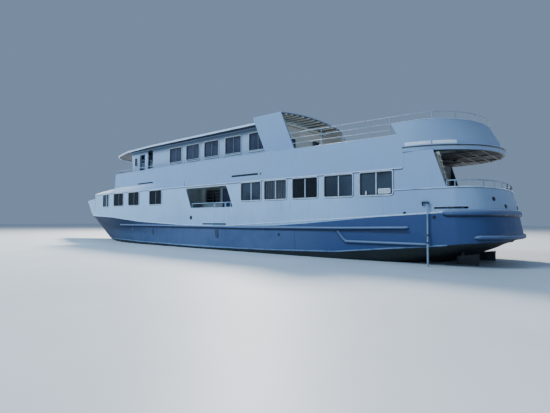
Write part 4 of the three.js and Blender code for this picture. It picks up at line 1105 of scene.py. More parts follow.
inside = Piece(STEEL, BOARD)
ends = (AFT_WINDOWS[0], AFT_WINDOWS[-1])
first, last = (Wall((fore - WINDOW_W / 2, HALF_BEAM, WINDOW_Z)) for fore in ends)
inside.tube([first.at(0.06, 0.4, -0.03), first.at(0.62, -0.4, -0.03)], 0.012, 8)
inside.kind = 1
cooler = last.moved(0.36, -0.325)
cooler.frame(inside, 0.25, 0.085, 0.02, [(0.018, -0.049), (0.018, -0.024), (0.0, -0.02), (0.0, -0.049)], 3)
for row in range(6):
    low = -0.082 + row * 0.03
    cooler.box(inside, (-0.245, 0.245), (low, low + 0.018), (-0.049, -0.03))
CANISTER = [(0.001, 0.0), (0.035, 0.0), (0.035, 0.11), (0.014, 0.14), (0.014, 0.17), (0.001, 0.172)]
inside.lathe(CANISTER, last.at(-0.45, -0.45, -0.012), UP, 14)
inside.place("window_fittings", "hull_white")

# The tapered fore end: one window a side and three in the front

TAPER_AFT, TAPER_FORE = Vector((8.2, HALF_BEAM, 0)), Vector((12.3, 2.36, 0))
TAPER_WINDOW_X = 9.715
FRONT_WINDOWS = ((1.35, 12.366, 0.0635), (0, 12.452, 0), (-1.35, 12.366, -0.0635))
END_HALF_V = 0.472

frames, panes = window_pieces(GLASS)
taper = (TAPER_AFT - TAPER_FORE).normalized()
share = (TAPER_WINDOW_X - TAPER_AFT.x) / (TAPER_FORE.x - TAPER_AFT.x)
place = TAPER_AFT.lerp(TAPER_FORE, share) + UP * WINDOW_Z
window(frames, panes, Wall(place, taper, UP, (taper.y, -taper.x, 0)), 0.671, END_HALF_V)
frames.place("taper_window_frame_@", "hull_white")
panes.place("taper_window_panes_@", "window_glass")

frames, panes = window_pieces(GLASS)
for y, x, lean in FRONT_WINDOWS:
    way = Vector((1, lean, 0)).normalized()
    wall = Wall((x, y, WINDOW_Z), UP.cross(way), UP, way)
    window(frames, panes, wall, 0.5, END_HALF_V, depth=0.0 if y else 0.02)
frames.place("front_window_frames", "hull_white")
panes.place("front_window_panes", "window_glass")

# Windows of the wheelhouse's front and sides, and of the two aft bulkheads

RAKE = 0.17026
RAKED_UP = Vector((RAKE, 0, 1)).normalized()
RAKED_OUT = Vector((1, 0, -RAKE)).normalized()
FRONT_X, FRONT_Z = 6.7, 6.15

frames, panes = window_pieces(GLASS, GLASS_CLEAR)
panes.kind = 1
for y in (-1.27, 0, 1.27):
    wall = Wall((FRONT_X + RAKE * (FRONT_Z - UPPER_DECK), y, FRONT_Z), OUT, RAKED_UP, RAKED_OUT)
    window(frames, panes, wall, 0.54, 0.4565, splits=())
panes.kind = 0
for side in (1, -1):
    wall = Wall((6.37, side * HOUSE_Y, 6.145), AFT, UP, OUT * side)
    window(frames, panes, wall, 0.19, 0.305, splits=())
    wall = Wall((-15.26, side * 1.6, 3.3175), OUT * side, UP, AFT)
    window(frames, panes, wall, 0.7, 0.4175)
window(frames, panes, Wall((-7.9, -1.525, 5.96), OUT, UP, AFT), 0.325, 0.46, splits=())
frames.place("end_window_frames", "hull_white")
panes.place("end_window_panes", "window_glass")

# Embarkation bay: a dark window with glazing bars, and a pipe round the opening with its sill

BAY_INNER = 1.8
frames, panes = Piece(STEEL, BLACK, REVEAL_AND_SHADOW), Piece(GLASS_DARK)
window(frames, panes, Wall((-2.4, BAY_INNER, 3.235)), 0.64, 0.405, bars=(-0.2, 0.0, 0.2))
frames.place("bay_window_frame_@", "hull_white")
panes.place("bay_window_panes_@", "window_glass")

BAY_LINE = [(-1.61, 2.455), (-1.12, 3.6), (-1.2, 3.7), (-4.87, 3.7), (-5.43, 2.455)]
SILL_BAR = half_round(0.075, 0.014)
SILL_Y, SILL_Z = 2.87, 2.462
bay = Piece(TRIM)
bay.tube(fillet([(x, HALF_BEAM, z) for x, z in BAY_LINE], 0.10), 0.020, 10)
for aft, fore in ((-5.43, -4.79), (-3.81, -1.61)):
    bay.sweep([(aft, SILL_Y, SILL_Z), (fore, SILL_Y, SILL_Z)], SILL_BAR, UP, up=OUT)
bay.place("bay_coaming_@", "hull_white")

# Plating of the upper bulwark, with its slots, and of the wing

PLATE_IN, PLATE_OUT = HALF_BEAM + 0.0004, HALF_BEAM + 0.004
SLOTS = ((-7.31, -5.29), (-7.54, -7.46))
SLOT_FOOT = 4.12
KNUCKLE_Z = 4.66
PLATE_Z = (MOULDING_Z, 4.0, SLOT_FOOT, 4.20, 4.43, KNUCKLE_Z, 4.9, 5.1)
PLATE_X = sorted({-15.24, -2.0, *SLOTS[0], *SLOTS[1], *steps(-15.0, -2.2, 0.6)})
END_LEAN = 0.52 / 0.98
KNEE_X, BULWARK_LOW = -2.0, 5.25
AFT_SLOPE, FORE_SLOPE, FORE_TAPER = 0.09 / 12.9, 0.07 / 10.2, 0.5 / 10.9


def bulwark_top(x):
    """It rises forward all along, with a change of slope at the knee."""
    return BULWARK_LOW + (x - KNEE_X) * (AFT_SLOPE if x < KNEE_X else FORE_SLOPE)


def bulwark_y(x):
    """Straight abaft the knee and drawn in before it."""
    return HALF_BEAM - max(x - KNEE_X, 0) * FORE_TAPER


def cladding(y):
    """Columns of points from the moulding to the bulwark's top; the last one aft leans forward."""
    cols = []
    for x in PLATE_X:
        lean = END_LEAN if x < HOUSE_AFT else 0
        heights = (*PLATE_Z, bulwark_top(x) + 0.004)
        cols.append([Vector((x + lean * max(z - KNUCKLE_Z, 0), y, z)) for z in heights])
    return cols


def plated(i, j):
    middle = (PLATE_X[i] + PLATE_X[i + 1]) / 2
    return not (PLATE_Z[j] == SLOT_FOOT and any(a < middle < b for a, b in SLOTS))


WING_FOOT, WING_HEAD = bulwark_top(-9) - 0.02, 7.14
WING_LINE = [(-9.73, WING_FOOT), (-7.85, WING_FOOT), (-6.94, WING_HEAD), (-8.88, WING_HEAD)]
WING_OUT = HALF_BEAM + 0.0042

side = Piece(HOUSE, WING)
side.shell(cladding(PLATE_OUT), cladding(PLATE_IN), plated)
side.kind = 1
side.rings([[(x, y, z) for x, z in WING_LINE] for y in (PLATE_IN, WING_OUT)])
side.place("upper_side_@", "hull_white")

# Cap rail of the upper bulwark

CAP_BAR = [(-0.045, 0.0), (-0.045, 0.008), (-0.036, 0.014), (0.036, 0.014), (0.045, 0.008), (0.045, 0.0)]
CAP_IN, CAP_LIFT = 0.03, 0.001
BULWARK_FORE = 8.6
FORE_TOP = bulwark_top(BULWARK_FORE)
NOSE_LINE = [(8.70, 2.385), (8.80, 2.33), (9.06, 1.80), (9.36, 1.18), (9.47, 0.6), (9.565, 0.0)]


def lay_bar(piece, line, bar=CAP_BAR):
    """A bar laid level along a line."""
    piece.sweep(line, bar, to_left(line), up=UP)


caps = Piece(TRIM)
half = [(x, bulwark_y(x) - CAP_IN, bulwark_top(x) + CAP_LIFT) for x in steps(-14.97, 8.4, 0.8)]
half += [(x, y, FORE_TOP + CAP_LIFT) for x, y in NOSE_LINE]
lay_bar(caps, across(half))
caps.place("upper_bulwark_cap", "hull_white")

# Aft bulwark of the upper deck and its belt


def stern_curve(aft, length, half, count=40, power=2.1):
    """The port half of a rounded stern, from the side to the centreline, as (x, y)."""
    turns = [math.pi / 2 * i / count for i in range(count + 1)]
    return [(aft + length * (1 - math.sin(t) ** (2 / power)), half * max(math.cos(t), 0) ** (2 / power))
            for t in turns]


def stern_plan(fore, knee, y, aft, length):
    """A stern curve with a straight length before it on both sides."""
    return across([(fore, y), (knee, y), *stern_curve(aft, length, y)[2:]])


def inward(path, distance):
    """A plan path from port aft to starboard, moved inboard."""
    moved = []
    for i, (x, y) in enumerate(path):
        along = heading([(*p, 0) for p in path], i)
        moved.append((x - along.y * distance, y + along.x * distance))
    return moved


STERN_TOP = 5.64
STERN_RISE = STERN_TOP - KNUCKLE_Z
STERN_FOOT = stern_plan(-15.24, -15.28, PLATE_OUT, -18.134, 3.08)
STERN_HEAD = stern_plan(-14.72, -15.2, PLATE_OUT, -17.604, 2.15)
STERN_ROWS = [k / 8 for k in range(9)]


def raked(offset):
    """The bulwark as columns of points from its foot to its head, moved inboard by offset."""
    return [[Vector((*Vector(a).lerp(Vector(b), t), KNUCKLE_Z + STERN_RISE * t)) for t in STERN_ROWS]
            for a, b in zip(inward(STERN_FOOT, offset), inward(STERN_HEAD, offset))]


bulwark = Piece(HOUSE, TRIM)
bulwark.shell(raked(0), raked(0.065))
bulwark.kind = 1
lay_bar(bulwark, [Vector((*p, STERN_TOP + CAP_LIFT)) for p in inward(STERN_HEAD, CAP_IN)])
bulwark.place("upper_stern_plating", "hull_white", replaces=["upper_stern_bulwark"])

BELT_Z = 4.545
BELT_BAR = [(-0.03, -0.122), (0.036, -0.122), (0.046, -0.112), (0.046, 0.05), (0.044, 0.062),
            (0.062, 0.066), (0.078, 0.078), (0.084, 0.094), (0.078, 0.110), (0.062, 0.120), (-0.03, 0.124)]
BELT_SHADOW = [(0.0455, 0.022), (0.0485, 0.024), (0.0485, 0.060), (0.0455, 0.062)]
belt = Piece(BELT_PAINT, REVEAL_AND_SHADOW)
line = [Vector((*p, BELT_Z)) for p in stern_plan(HOUSE_AFT, -15.26, HALF_BEAM, -18.13, 3.08)]
outs = [-way for way in to_left(line)]
belt.sweep(line, BELT_BAR, outs, up=UP)
belt.kind = 1
belt.sweep(line, BELT_SHADOW, outs, up=UP)
belt.place("upper_deck_belt", "hull_white")

# Rails

RAIL_R, LOW_RAIL_R, POST_R = 0.022, 0.018, 0.019
RAIL_FORE_X, RAIL_FORE_Z, RAIL_SLOPE = -9.7, 6.0, 0.09 / 6
DROPS = (0, 0.27, 0.52)
UPPER_POSTS = (-11.3, -12.45, -13.7, -14.67)
STERN_RAIL_Z = 5.92
RAIL_Y = HALF_BEAM - CAP_IN
POST_FOOT = [(0.001, 0.0), (0.055, 0.0), (0.055, 0.008), (0.03, 0.012), (0.025, 0.03), (0.001, 0.03)]


def post(piece, x, y, low, high):
    """An upright of a rail with its flange."""
    piece.tube([(x, y, low), (x, y, high)], POST_R, 10)
    piece.lathe(POST_FOOT, (x, y, low), UP, 12)


def rail_z(x, drop=0.0):
    return RAIL_FORE_Z + (x - RAIL_FORE_X) * RAIL_SLOPE - drop


bars = Piece(RAIL)
for drop in DROPS:
    fore, aft = -9.394 - drop * 0.44, UPPER_POSTS[-1] if drop else -14.80
    line = [(x, RAIL_Y, rail_z(x, drop)) for x in steps(fore, aft, 0.6)]
    bars.tube(line, LOW_RAIL_R if drop else RAIL_R)
for x in UPPER_POSTS:
    post(bars, x, RAIL_Y, bulwark_top(x), rail_z(x))
bars.add_mirror_image()
stern_line = [(x + 0.03, y) for x, y in stern_curve(-17.60, 2.15, RAIL_Y, 24)]
half = [(-14.75, RAIL_Y, STERN_RAIL_Z + 0.005), (-15.2, RAIL_Y, STERN_RAIL_Z)]
bars.tube(across(half + [(x, y, STERN_RAIL_Z) for x, y in stern_line[3:]]), RAIL_R)
for x, y in stern_line[6:19:6]:
    for side in (1, -1):
        post(bars, x, side * y, STERN_TOP, STERN_RAIL_Z)
bars.place("upper_rail_pipes", "rail_paint", replaces=["upper_rail"])

PIPE_LIFT = 0.23
pipe_z = FORE_TOP + PIPE_LIFT
bars = Piece(RAIL)
half = [(x, bulwark_y(x) - CAP_IN, bulwark_top(x) + PIPE_LIFT) for x in steps(-7.722, 8.3, 1.1)]
half += fillet([(8.4, 2.393, pipe_z), (8.6, 2.384, pipe_z), (9.35, 1.165, pipe_z), (9.53, 0, pipe_z)], 0.3)
bars.tube(across(half), RAIL_R)
feet = [(x, bulwark_y(x) - CAP_IN) for x in (-7.2 + i * 1.28 for i in range(13))]
for x, y in [*feet, (8.98, 1.765), (9.44, 0.58)]:
    low = bulwark_top(min(x, BULWARK_FORE))
    for side in (1, -1):
        post(bars, x, side * y, low + 0.012, low + PIPE_LIFT)
bars.place("fore_rail_pipes", "rail_paint", replaces=["fore_rail"])

# The main deck's rounded stern: its edge in plan, and how far the bulwark's top leans forward

ROUND_X = -16.87
STERN_TIP = (-18.577, 0.0)
STERN_EDGE = [(ROUND_X, HALF_BEAM), *[(row[0], row[1]) for _, _, row in COLUMNS if row[0] < ROUND_X][::2],
              STERN_TIP]
BULWARK_TOP, PIPE_TOP = 2.97, 3.21
STBD_AFT = -15.742
LEAN_X, LEAN_SLOPE = -17, 0.25 / 1.5


def stern_lean(x):
    """How far forward the top of the rounded bulwark leans."""
    return max((LEAN_X - x) * LEAN_SLOPE, 0)


drawn_in = [(x + stern_lean(x), max(y, 0)) for x, y in inward(STERN_EDGE, CAP_IN)]
drawn_in[-1] = (drawn_in[-1][0], 0.0)

bars = Piece(RAIL)
half = [(-16.91, RAIL_Y, PIPE_TOP)] + [(x, y, PIPE_TOP) for x, y in drawn_in[2:]]
bars.tube([*across(half), (-15.79, -RAIL_Y, PIPE_TOP)], RAIL_R)
for x, y in drawn_in[::len(drawn_in) // 6]:
    for side in (1, -1):
        post(bars, x, side * y, BULWARK_TOP, PIPE_TOP)
bars.place("stern_rail_pipes", "rail_paint", replaces=["stern_rail"])

cap = Piece(TRIM)
port = [Vector((x, y, BULWARK_TOP + 0.002)) for x, y in drawn_in]
starboard = [flip(p) for p in port[:-1]]
lay_bar(cap, [Vector((-15.74, -RAIL_Y, BULWARK_TOP + 0.002)), *starboard, *port[::-1]])
cap.place("stern_bulwark_cap", "hull_white")

# Smooth plating of the stern bulwark, with its freeing port, and of the bow bulwark

PORT_TOP = 2.24
FREEING_PORT = (-17.58, -16.9)
stern_z = (2.968, 2.7, 2.45, PORT_TOP, 2.16, 2.05, 1.952)
stern_cols = []
for x, y in across([(-16.5, HALF_BEAM), *STERN_EDGE]):
    leans = [stern_lean(x) * (z - MAIN_DECK) / (BULWARK_TOP - MAIN_DECK) for z in stern_z]
    stern_cols.append([Vector((x + lean, y, z)) for lean, z in zip(leans, stern_z)])
stern_cols.append([Vector((STBD_AFT, -HALF_BEAM, z)) for z in stern_z])
stern_ways = to_left([col[0] for col in stern_cols])


def off_stern(distance):
    """The bulwark's plating moved outward in plan."""
    return [[p - way * distance for p in col] for col, way in zip(stern_cols, stern_ways)]


def stern_plated(i, j):
    x = (stern_cols[i][0].x + stern_cols[i + 1][0].x) / 2
    return not (stern_z[j] == PORT_TOP and FREEING_PORT[0] < x < FREEING_PORT[1])


plating = Piece(STERN_PAINT)
plating.shell(off_stern(0.003), off_stern(0.0005), stern_plated)
plating.place("stern_bulwark_plating", "hull_white", angle=40)


def way_out(grid, i, j):
    """The way out of a grid of points at i, j, for columns that run aft and rows that run down."""
    along = grid[min(i + 1, len(grid) - 1)][j] - grid[max(i - 1, 0)][j]
    down = grid[i][min(j + 1, len(grid[i]) - 1)] - grid[i][max(j - 1, 0)]
    normal = down.cross(along).normalized()
    return normal if normal.dot(Vector((grid[i][j].x, grid[i][j].y * 6, 0))) > 0 else -normal


BOW_TOP = 3.48
BOW_AFT, BOW_LONG, BOW_FLARE = 12.3, 5.45, 1.05
fine_line = [smooth_row(FORE_LINE, i, k / 4) for i in range(len(FORE_LINE) - 1) for k in range(4)]
fine_line = [p for p in fine_line if p[0] > 12.35] + [(12.326, 2.35)]
bow_cols = []
for x, y in fine_line:
    share = max((x - BOW_AFT) / BOW_LONG, 0)
    foot = Vector((x, y, FOREDECK))
    head = Vector((x + BOW_FLARE * share ** 1.25, y and y + 0.04 * (1 - share), BOW_TOP))
    bow_cols.append([head.lerp(foot, k / 5) for k in range(6)])
with_ways = [[(p, way_out(bow_cols, i, j)) for j, p in enumerate(col)] for i, col in enumerate(bow_cols)]
plating = Piece(SHIP)
plating.shell(*plate_on(with_ways, 0.004, 0.0006))
plating.place("bow_bulwark_plating_@", "hull_white", angle=40)

cap = Piece(TRIM)
half = [Vector((col[0].x - 0.02, max(col[0].y - 0.025, 0), BOW_TOP + CAP_LIFT)) for col in bow_cols]
lay_bar(cap, across(half[::-1]))
cap.place("bow_bulwark_cap", "hull_white")

# Stem and chine

STEM_LINE = [(18.80, BOW_TOP - 0.03), (18.28, 2.97), (17.75, FOREDECK), (17.036, MAIN_DECK), (16.05, RUB),
             (14.2, 0.15)]
STEM_TURNS = [math.pi * k / 8 - math.pi / 2 for k in range(9)]
STEM_FACE = [(0.014 * math.cos(t), 0.045 * math.sin(t)) for t in STEM_TURNS]
STEM_HEEL, *_, STEM_TOE = [(w - 0.05, v * 1.2) for w, v in STEM_FACE]

stem = Piece(SHIP)
stem_path = fillet([(x, 0, z) for x, z in STEM_LINE], 0.25, 4)
outs = [heading(stem_path, i).cross(OUT).normalized() for i in range(len(stem_path))]
outs = [w if w.x > 0 else -w for w in outs]
stem.sweep(stem_path, [STEM_HEEL, *STEM_FACE, STEM_TOE], outs, up=OUT)
stem.place("stem_bar", "hull_blue")

# The chine bar is pale as a painted highlight.
chine = Piece(CHINE_HIGHLIGHT)
line = [Vector(row[4:7]) for _, _, row in COLUMNS][::3]
path = [p + OUT * 0.004 for p in line if 14.0 > p.x > -17.0]
outs = [w if w.y > 0 else -w for w in to_left(path)]
path, outs, sizes = soft_ends(path, outs, 0.1)
chine.sweep(path, half_round(0.06, 0.028, 6), outs, sizes=sizes)
chine.place("chine_bar_@", "hull_blue")

# Smooth bottom with keel and rudder trunks

KEEL = [(11.0, -1.2), (9.5, -1.45), (-12.5, -1.45), (-15.3, -1.45), (-15.5, -0.7), (-15.5, -0.3),
        (-13.0, -0.9), (-9.0, -1.15)]
KEEL_HALF = 0.09
SHAFT_Y, STOCK_X = 1.3, -16.95


def bottom_ring(row):
    """One section of the bottom, from chine to chine with a round bilge."""
    chine, lower, keel = Vector(row[4:7]), Vector(row[7:10]), Vector((row[10], 0, row[11]))
    chine.z -= 0.0005
    a, b = lower.lerp(chine, 0.35), lower.lerp(keel, 0.25)
    bilge = [a.lerp(lower, t).lerp(lower.lerp(b, t), t) for t in (k / 8 for k in range(9))]
    return across([chine, chine.lerp(a, 0.5), *bilge, b.lerp(keel, 0.5), keel])


bottom = Piece(BOTTOM_PAINT)
bottom.rings([bottom_ring(row) for _, _, row in [*COLUMNS[:-2:4], COLUMNS[-3]]])
bottom.rings([[(x, y, z) for x, z in KEEL] for y in (-KEEL_HALF, KEEL_HALF)])
for y in (-SHAFT_Y, SHAFT_Y):
    bottom.lathe([(0.075, 0.43), (0.075, 0.5), (0.07, 0.55)], (STOCK_X, y, 0), UP, 16)
bottom.place("bottom_plating", "bottom_paint", bevel=0.012, replaces=["hull_bottom"], angle=40)

# Canopy between the wings: the sheet, its lining and the ribs

CROWN, EAVES = 0.21, 7.19
CANOPY_AFT, CANOPY_FORE = -8.888, -6.972
CANOPY_YS = [HALF_BEAM * (1 - 2 * k / 48) for k in range(49)]
LIP = [(0.0, 0.0), (0.012, -0.012), (0.012, -0.045), (0.0, -0.05)]
RIB = [(-0.03, -0.05), (-0.03, -0.125), (-0.024, -0.13), (0.024, -0.13), (0.03, -0.125), (0.03, -0.05)]


def crown(y):
    return EAVES + CROWN * (1 - (y / HALF_BEAM) ** 2)


canopy = Piece(HOUSE, BULKHEAD, CREAM)
canopy.rings([[(CANOPY_AFT - a, y, crown(y) + b) for a, b in LIP]
              + [(CANOPY_FORE + a, y, crown(y) + b) for a, b in LIP[::-1]] for y in CANOPY_YS])
canopy.kind = 1
lining = ((-8.87, 0.051), (-6.99, 0.051), (-6.99, 0.054), (-8.87, 0.054))
canopy.rings([[(x, y, crown(y) - d) for x, d in lining] for y in CANOPY_YS[1:-1]])
canopy.kind = 2
for y in (HALF_BEAM * (1 - k / 6) for k in range(1, 12)):
    canopy.rings([[(x, y + a, crown(y) + b) for a, b in RIB] for x in (-8.86, -7.0)])
canopy.place("canopy_sheet", "hull_white", replaces=["canopy"])

# Roof edge with its gutter

ROOF_EDGE = [(-8.0, 2.45, 7.0), (3.8, 2.45, 7.0), (7.2, 2.24, 7.0), (8.3, 2.09, 6.9425),
             (9.2, 1.95, 6.855), (9.6, 1.6, 6.795), (9.75, 1.2, 6.7525), (9.85, 0.5, 6.71),
             (9.86, 0.0, 6.705)]
GUTTER_BAR = [(-0.02, -0.056), (0.012, -0.056), (0.018, -0.05), (0.018, 0.05), (0.012, 0.058),
              (-0.02, 0.058)]
corners = [Vector(p) for p in ROOF_EDGE]
half = [p for a, b in zip(corners, corners[1:]) for p in (a, a.lerp(b, 0.5))] + corners[-1:]
roof = Piece(TRIM, CREAM)
lay_bar(roof, across(half), GUTTER_BAR)
roof.kind = 1
aft_x, aft_y, aft_z = ROOF_EDGE[0]
roof.sweep([(aft_x, y, aft_z) for y in steps(-aft_y, aft_y, 0.5)], GUTTER_BAR, AFT, up=UP)
roof.place("roof_edge", "hull_white", bevel=0.004)

# Small fittings of the hull side: ports and fairleads, pockets, slots and the freeing port's rim

TRIM_KIND, BLACK_KIND, VENT_KIND = 0, 1, 2
ROUND_PORTS = ((-1.66, 1.876, 0.11), (-15.27, 2.01, 0.055), (-16.42, 1.85, 0.055), (-8.74, 1.01, 0.055),
               (8.1, 1.13, 0.06))
FAIRLEADS = ((0.690, 2.522), (0.404, 2.267))
POCKETS = ((-4.045, 1.18, 0.70, 0.15), (2.635, 1.18, 0.72, 0.13), (5.24, 1.16, 0.80, 0.11))
FORE_SLOT = Wall((4.04, bulwark_y(4.04), 4.35), Vector((-1, FORE_TAPER, 0)).normalized(), UP,
                 Vector((FORE_TAPER, 1, 0)).normalized())
# Heights of the black plates that stand as painted shade in the slots and the scupper.
SLOT_SHADE_Z, SCUPPER_SHADE_Z = (4.108, 4.212), (1.461, 1.539)


def round_port(piece, place, way, radius, wide=0.012, proud=0.012):
    """A round dark rim on a plate, and a black disc in its hole as painted shade."""
    piece.lathe([(radius, -0.004), (radius + wide, -0.004), (radius + wide, proud * 0.7),
                 (radius + wide * 0.6, proud), (radius, proud * 0.9)], place, way, 20)
    piece.lathe([(0.001, -0.004), (radius, -0.004), (radius, 0.009), (0.001, 0.0095)], place, way, 20)


def pocket(piece, x, high, low, half):
    """A plate on the side with a round foot."""
    middle = low + half

    def width(z):
        return half if z >= middle else math.sqrt(max(half ** 2 - (middle - z) ** 2, 1e-5))
    heights = [high, middle] + [middle - half * math.sin(math.pi / 2 * k / 6) for k in range(1, 7)]
    cols = [[side_at(x + t * width(z), z) for z in heights] for t in (-1, -0.5, 0, 0.5, 1)]
    piece.shell(*plate_on(cols, 0.02))


fittings = Piece(TRIM, BLACK, VENT)
fittings.kind = BLACK_KIND
for x, z, radius in ROUND_PORTS:
    round_port(fittings, *side_at(x, z), radius)
for angle, z in FAIRLEADS:
    round_port(fittings, *stern_at(angle, z), 0.055, 0.025, 0.03)
fittings.kind = VENT_KIND
for sizes in POCKETS:
    pocket(fittings, *sizes)
# Black plates as painted shade: in the scupper, in the slots, over the fore slot and beside the freeing
# port.
fittings.kind = BLACK_KIND
fittings.box((SCUPPER_X[0] + 0.002, SCUPPER_X[1] - 0.002), (2.9006, 2.9045), SCUPPER_SHADE_Z)
for slot in SLOTS:
    fittings.box(slot, (2.9008, 2.9056), SLOT_SHADE_Z)
FORE_SLOT.plate(fittings, rounded(1.055, 0.045, 0.02, 3), (0.0005, 0.004))
cols = [[side_at(x, z) for z in (2.235, 2.2, 2.165)] for x in steps(-16.42, -16.895, 0.1)]
fittings.shell(*plate_on(cols, 0.008))
fittings.kind = TRIM_KIND
for z in (2.255, 2.145):
    line, outs = along_side(-16.4, -17.6, level(z), 0.1)
    fittings.sweep(line, half_round(0.016, 0.014, 4), outs)
fittings.place("side_fittings_@", "hull_white")

# Blank name boards at the foot of the upper stern bulwark, by their lengths along it

BOARD_Z = (4.80, 4.665)
BOARDS = ((0.05, 1.03), (1.09, 1.98), (4.46, 5.26))
FOOT_LINE, HEAD_LINE = ([Vector((*p, 0)) for p in plan] for plan in (STERN_FOOT, STERN_HEAD))


def stern_point(length, z):
    """The upper stern bulwark at height z and a length along its foot, and the way out of it."""
    spans = [b - a for a, b in zip(FOOT_LINE, FOOT_LINE[1:])]
    i = 0
    while i < len(spans) - 1 and length > spans[i].length:
        length -= spans[i].length
        i += 1
    low, high = (line[i].lerp(line[i + 1], length / spans[i].length) for line in (FOOT_LINE, HEAD_LINE))
    return low.lerp(high, (z - KNUCKLE_Z) / STERN_RISE) + UP * z, spans[i].normalized().cross(UP)


boards = Piece(BOARD)
for start, end in BOARDS:
    cols = [[stern_point(s, z) for z in steps(*BOARD_Z, 0.06)] for s in steps(start, end, 0.08)]
    boards.shell(*plate_on(cols, 0.016, 0.0005))
boards.place("name_boards", "hull_white", bevel=0.004)

# Overhang: beams and girders with their flanges, and a round lamp, under the upper deck

DECKHEAD_Z, BEAM_Z, GIRDER_Z = 4.4285, 4.402, 4.395
STAIR_X, STAIR_Y = (-16.9, -16.0), (1.52, 2.22)
GIRDER_X = (-17.6, -15.27)
LAMP = [(0.001, 0.0), (0.10, 0.0), (0.10, -0.03), (0.075, -0.07), (0.001, -0.085)]

# The beams and girders take the dark paint of painted shade.
under = Piece(OVERHANG_SHADE, BLACK)
overhang = stern_curve(-18.10, 3.05, HALF_BEAM - 0.1, 60)
for x in steps(-15.75, -17.75, 0.5):
    reach = max(y for edge_x, y in overhang if abs(edge_x - x) < 0.2)
    beside_stair = [(-reach, STAIR_Y[0]), (STAIR_Y[1], reach)]
    for a, b in beside_stair if STAIR_X[0] < x < STAIR_X[1] else [(-reach, reach)]:
        if b - a > 0.2:
            under.box((x - 0.005, x + 0.005), (a, b), (BEAM_Z + 0.006, DECKHEAD_Z))
            under.box((x - 0.03, x + 0.03), (a, b), (BEAM_Z, BEAM_Z + 0.006))
for y in (-1.45, 0.0, 1.45):
    under.box(GIRDER_X, (y - 0.006, y + 0.006), (GIRDER_Z + 0.007, DECKHEAD_Z))
    under.box(GIRDER_X, (y - 0.04, y + 0.04), (GIRDER_Z, GIRDER_Z + 0.007))
under.kind = 1
under.lathe(LAMP, (-16.2, -0.37, DECKHEAD_Z), UP, 20)
under.place("overhang_beams", "hull_white")

# Overboard pipe with joints and its bracket

PIPE_FOOT = (-16.2, 3.0, 0)
PIPE_PROFILE = [(0.001, -0.7), (0.036, -0.7), (0.036, 0.88), (0.026, 0.9), (0.026, 2.40), (0.001, 2.41)]
BRACKET_IN = HALF_BEAM + 0.0005

pipe = Piece(STEEL, RAIL)
pipe.kind = 1
pipe.lathe(PIPE_PROFILE, PIPE_FOOT, UP, 18)
pipe.kind = 0
for z in (0.86, 1.15, 2.36):
    joint = [(0.037, z), (0.05, z + 0.004), (0.05, z + 0.056), (0.037, z + 0.06)]
    pipe.lathe(joint, PIPE_FOOT, UP, 18)
for z in (2.38, 2.432):
    pipe.box((-16.23, -15.96), (BRACKET_IN, 3.03), (z, z + 0.008))
pipe.box((-16.0, -15.99), (BRACKET_IN, 3.0), (2.28, 2.44))
pipe.place("overboard_pipe_fittings", "dark_steel", bevel=0.003, replaces=["overboard_pipe"])

# Bitts, wrapped over the solid posts

BITT = [(0.072, 0.021), (0.072, 0.34), (0.086, 0.36), (0.09, 0.385), (0.086, 0.4), (0.072, 0.405),
        (0.001, 0.408)]
posts = Piece(STEEL)
for x, y, z in ((15.4, 0.45, FOREDECK), (-17.45, 1.95, MAIN_DECK)):
    for along in (-0.17, 0.17):
        for side in (1, -1):
            posts.lathe(BITT, (x + along, side * y, z), UP, 24)
    for side in (1, -1):
        posts.box((x - 0.32, x + 0.32), (side * y - 0.14, side * y + 0.14), (z + 0.001, z + 0.026))
posts.place("bitts", "dark_steel", bevel=0.005)

# Propellers: four twisted blades with thick roots, on a boss with a cap

PROP_X, SHAFT_Z = -16.1, -0.45
ROOT_R, BLADE_LONG = 0.06, 0.37
ADVANCE = 0.62
BOSS = [(0.001, -0.108), (0.045, -0.104), (0.064, -0.08), (0.078, 0.0), (0.078, 0.06), (0.072, 0.1),
        (0.06, 0.109), (0.001, 0.109)]


def blade_ring(share, side):
    """A blade's section at a share of its length, round a shaft along x."""
    r = ROOT_R + BLADE_LONG * share
    chord = 0.11 + 0.22 * math.sin(math.pi * min(share * 0.62 + 0.16, 1)) * (1 - share ** 6)
    chord = max(chord * math.sqrt(max(1 - share ** 7, 0.02)), 0.02)
    twist = math.atan2(ADVANCE, 2 * math.pi * max(r, 0.1)) * side
    thick = part_way(0.02, 0.004, share)
    ring = []
    for t in (2 * math.pi * k / 16 for k in range(16)):
        c, n = chord / 2 * math.cos(t) + 0.05 * share ** 2, thick / 2 * math.sin(t)
        along = c * math.sin(twist) + n * math.cos(twist)
        arc = (c * math.cos(twist) - n * math.sin(twist)) / max(r, 0.1)
        ring.append(Vector((along, r * math.sin(arc), r * math.cos(arc))))
    return ring


for side, name in ((1, "port"), (-1, "stbd")):
    hub = Vector((PROP_X, side * SHAFT_Y, SHAFT_Z))
    piece = Piece(BRONZE)
    piece.lathe(BOSS, hub, FORWARD, 28)
    for blade in range(4):
        turn = Matrix.Rotation(math.pi / 2 * blade, 3, "X")
        piece.rings([[hub + turn @ p for p in blade_ring(k / 12, side)] for k in range(13)])
    node_name = f"propeller_{name}"
    piece.place(f"propeller_blades_{name}", "bronze", node_name, replaces=[node_name], angle=50)

# Rudders: a rounded foil on its stock, with stiffeners across it

RUDDER_HALF = 0.045


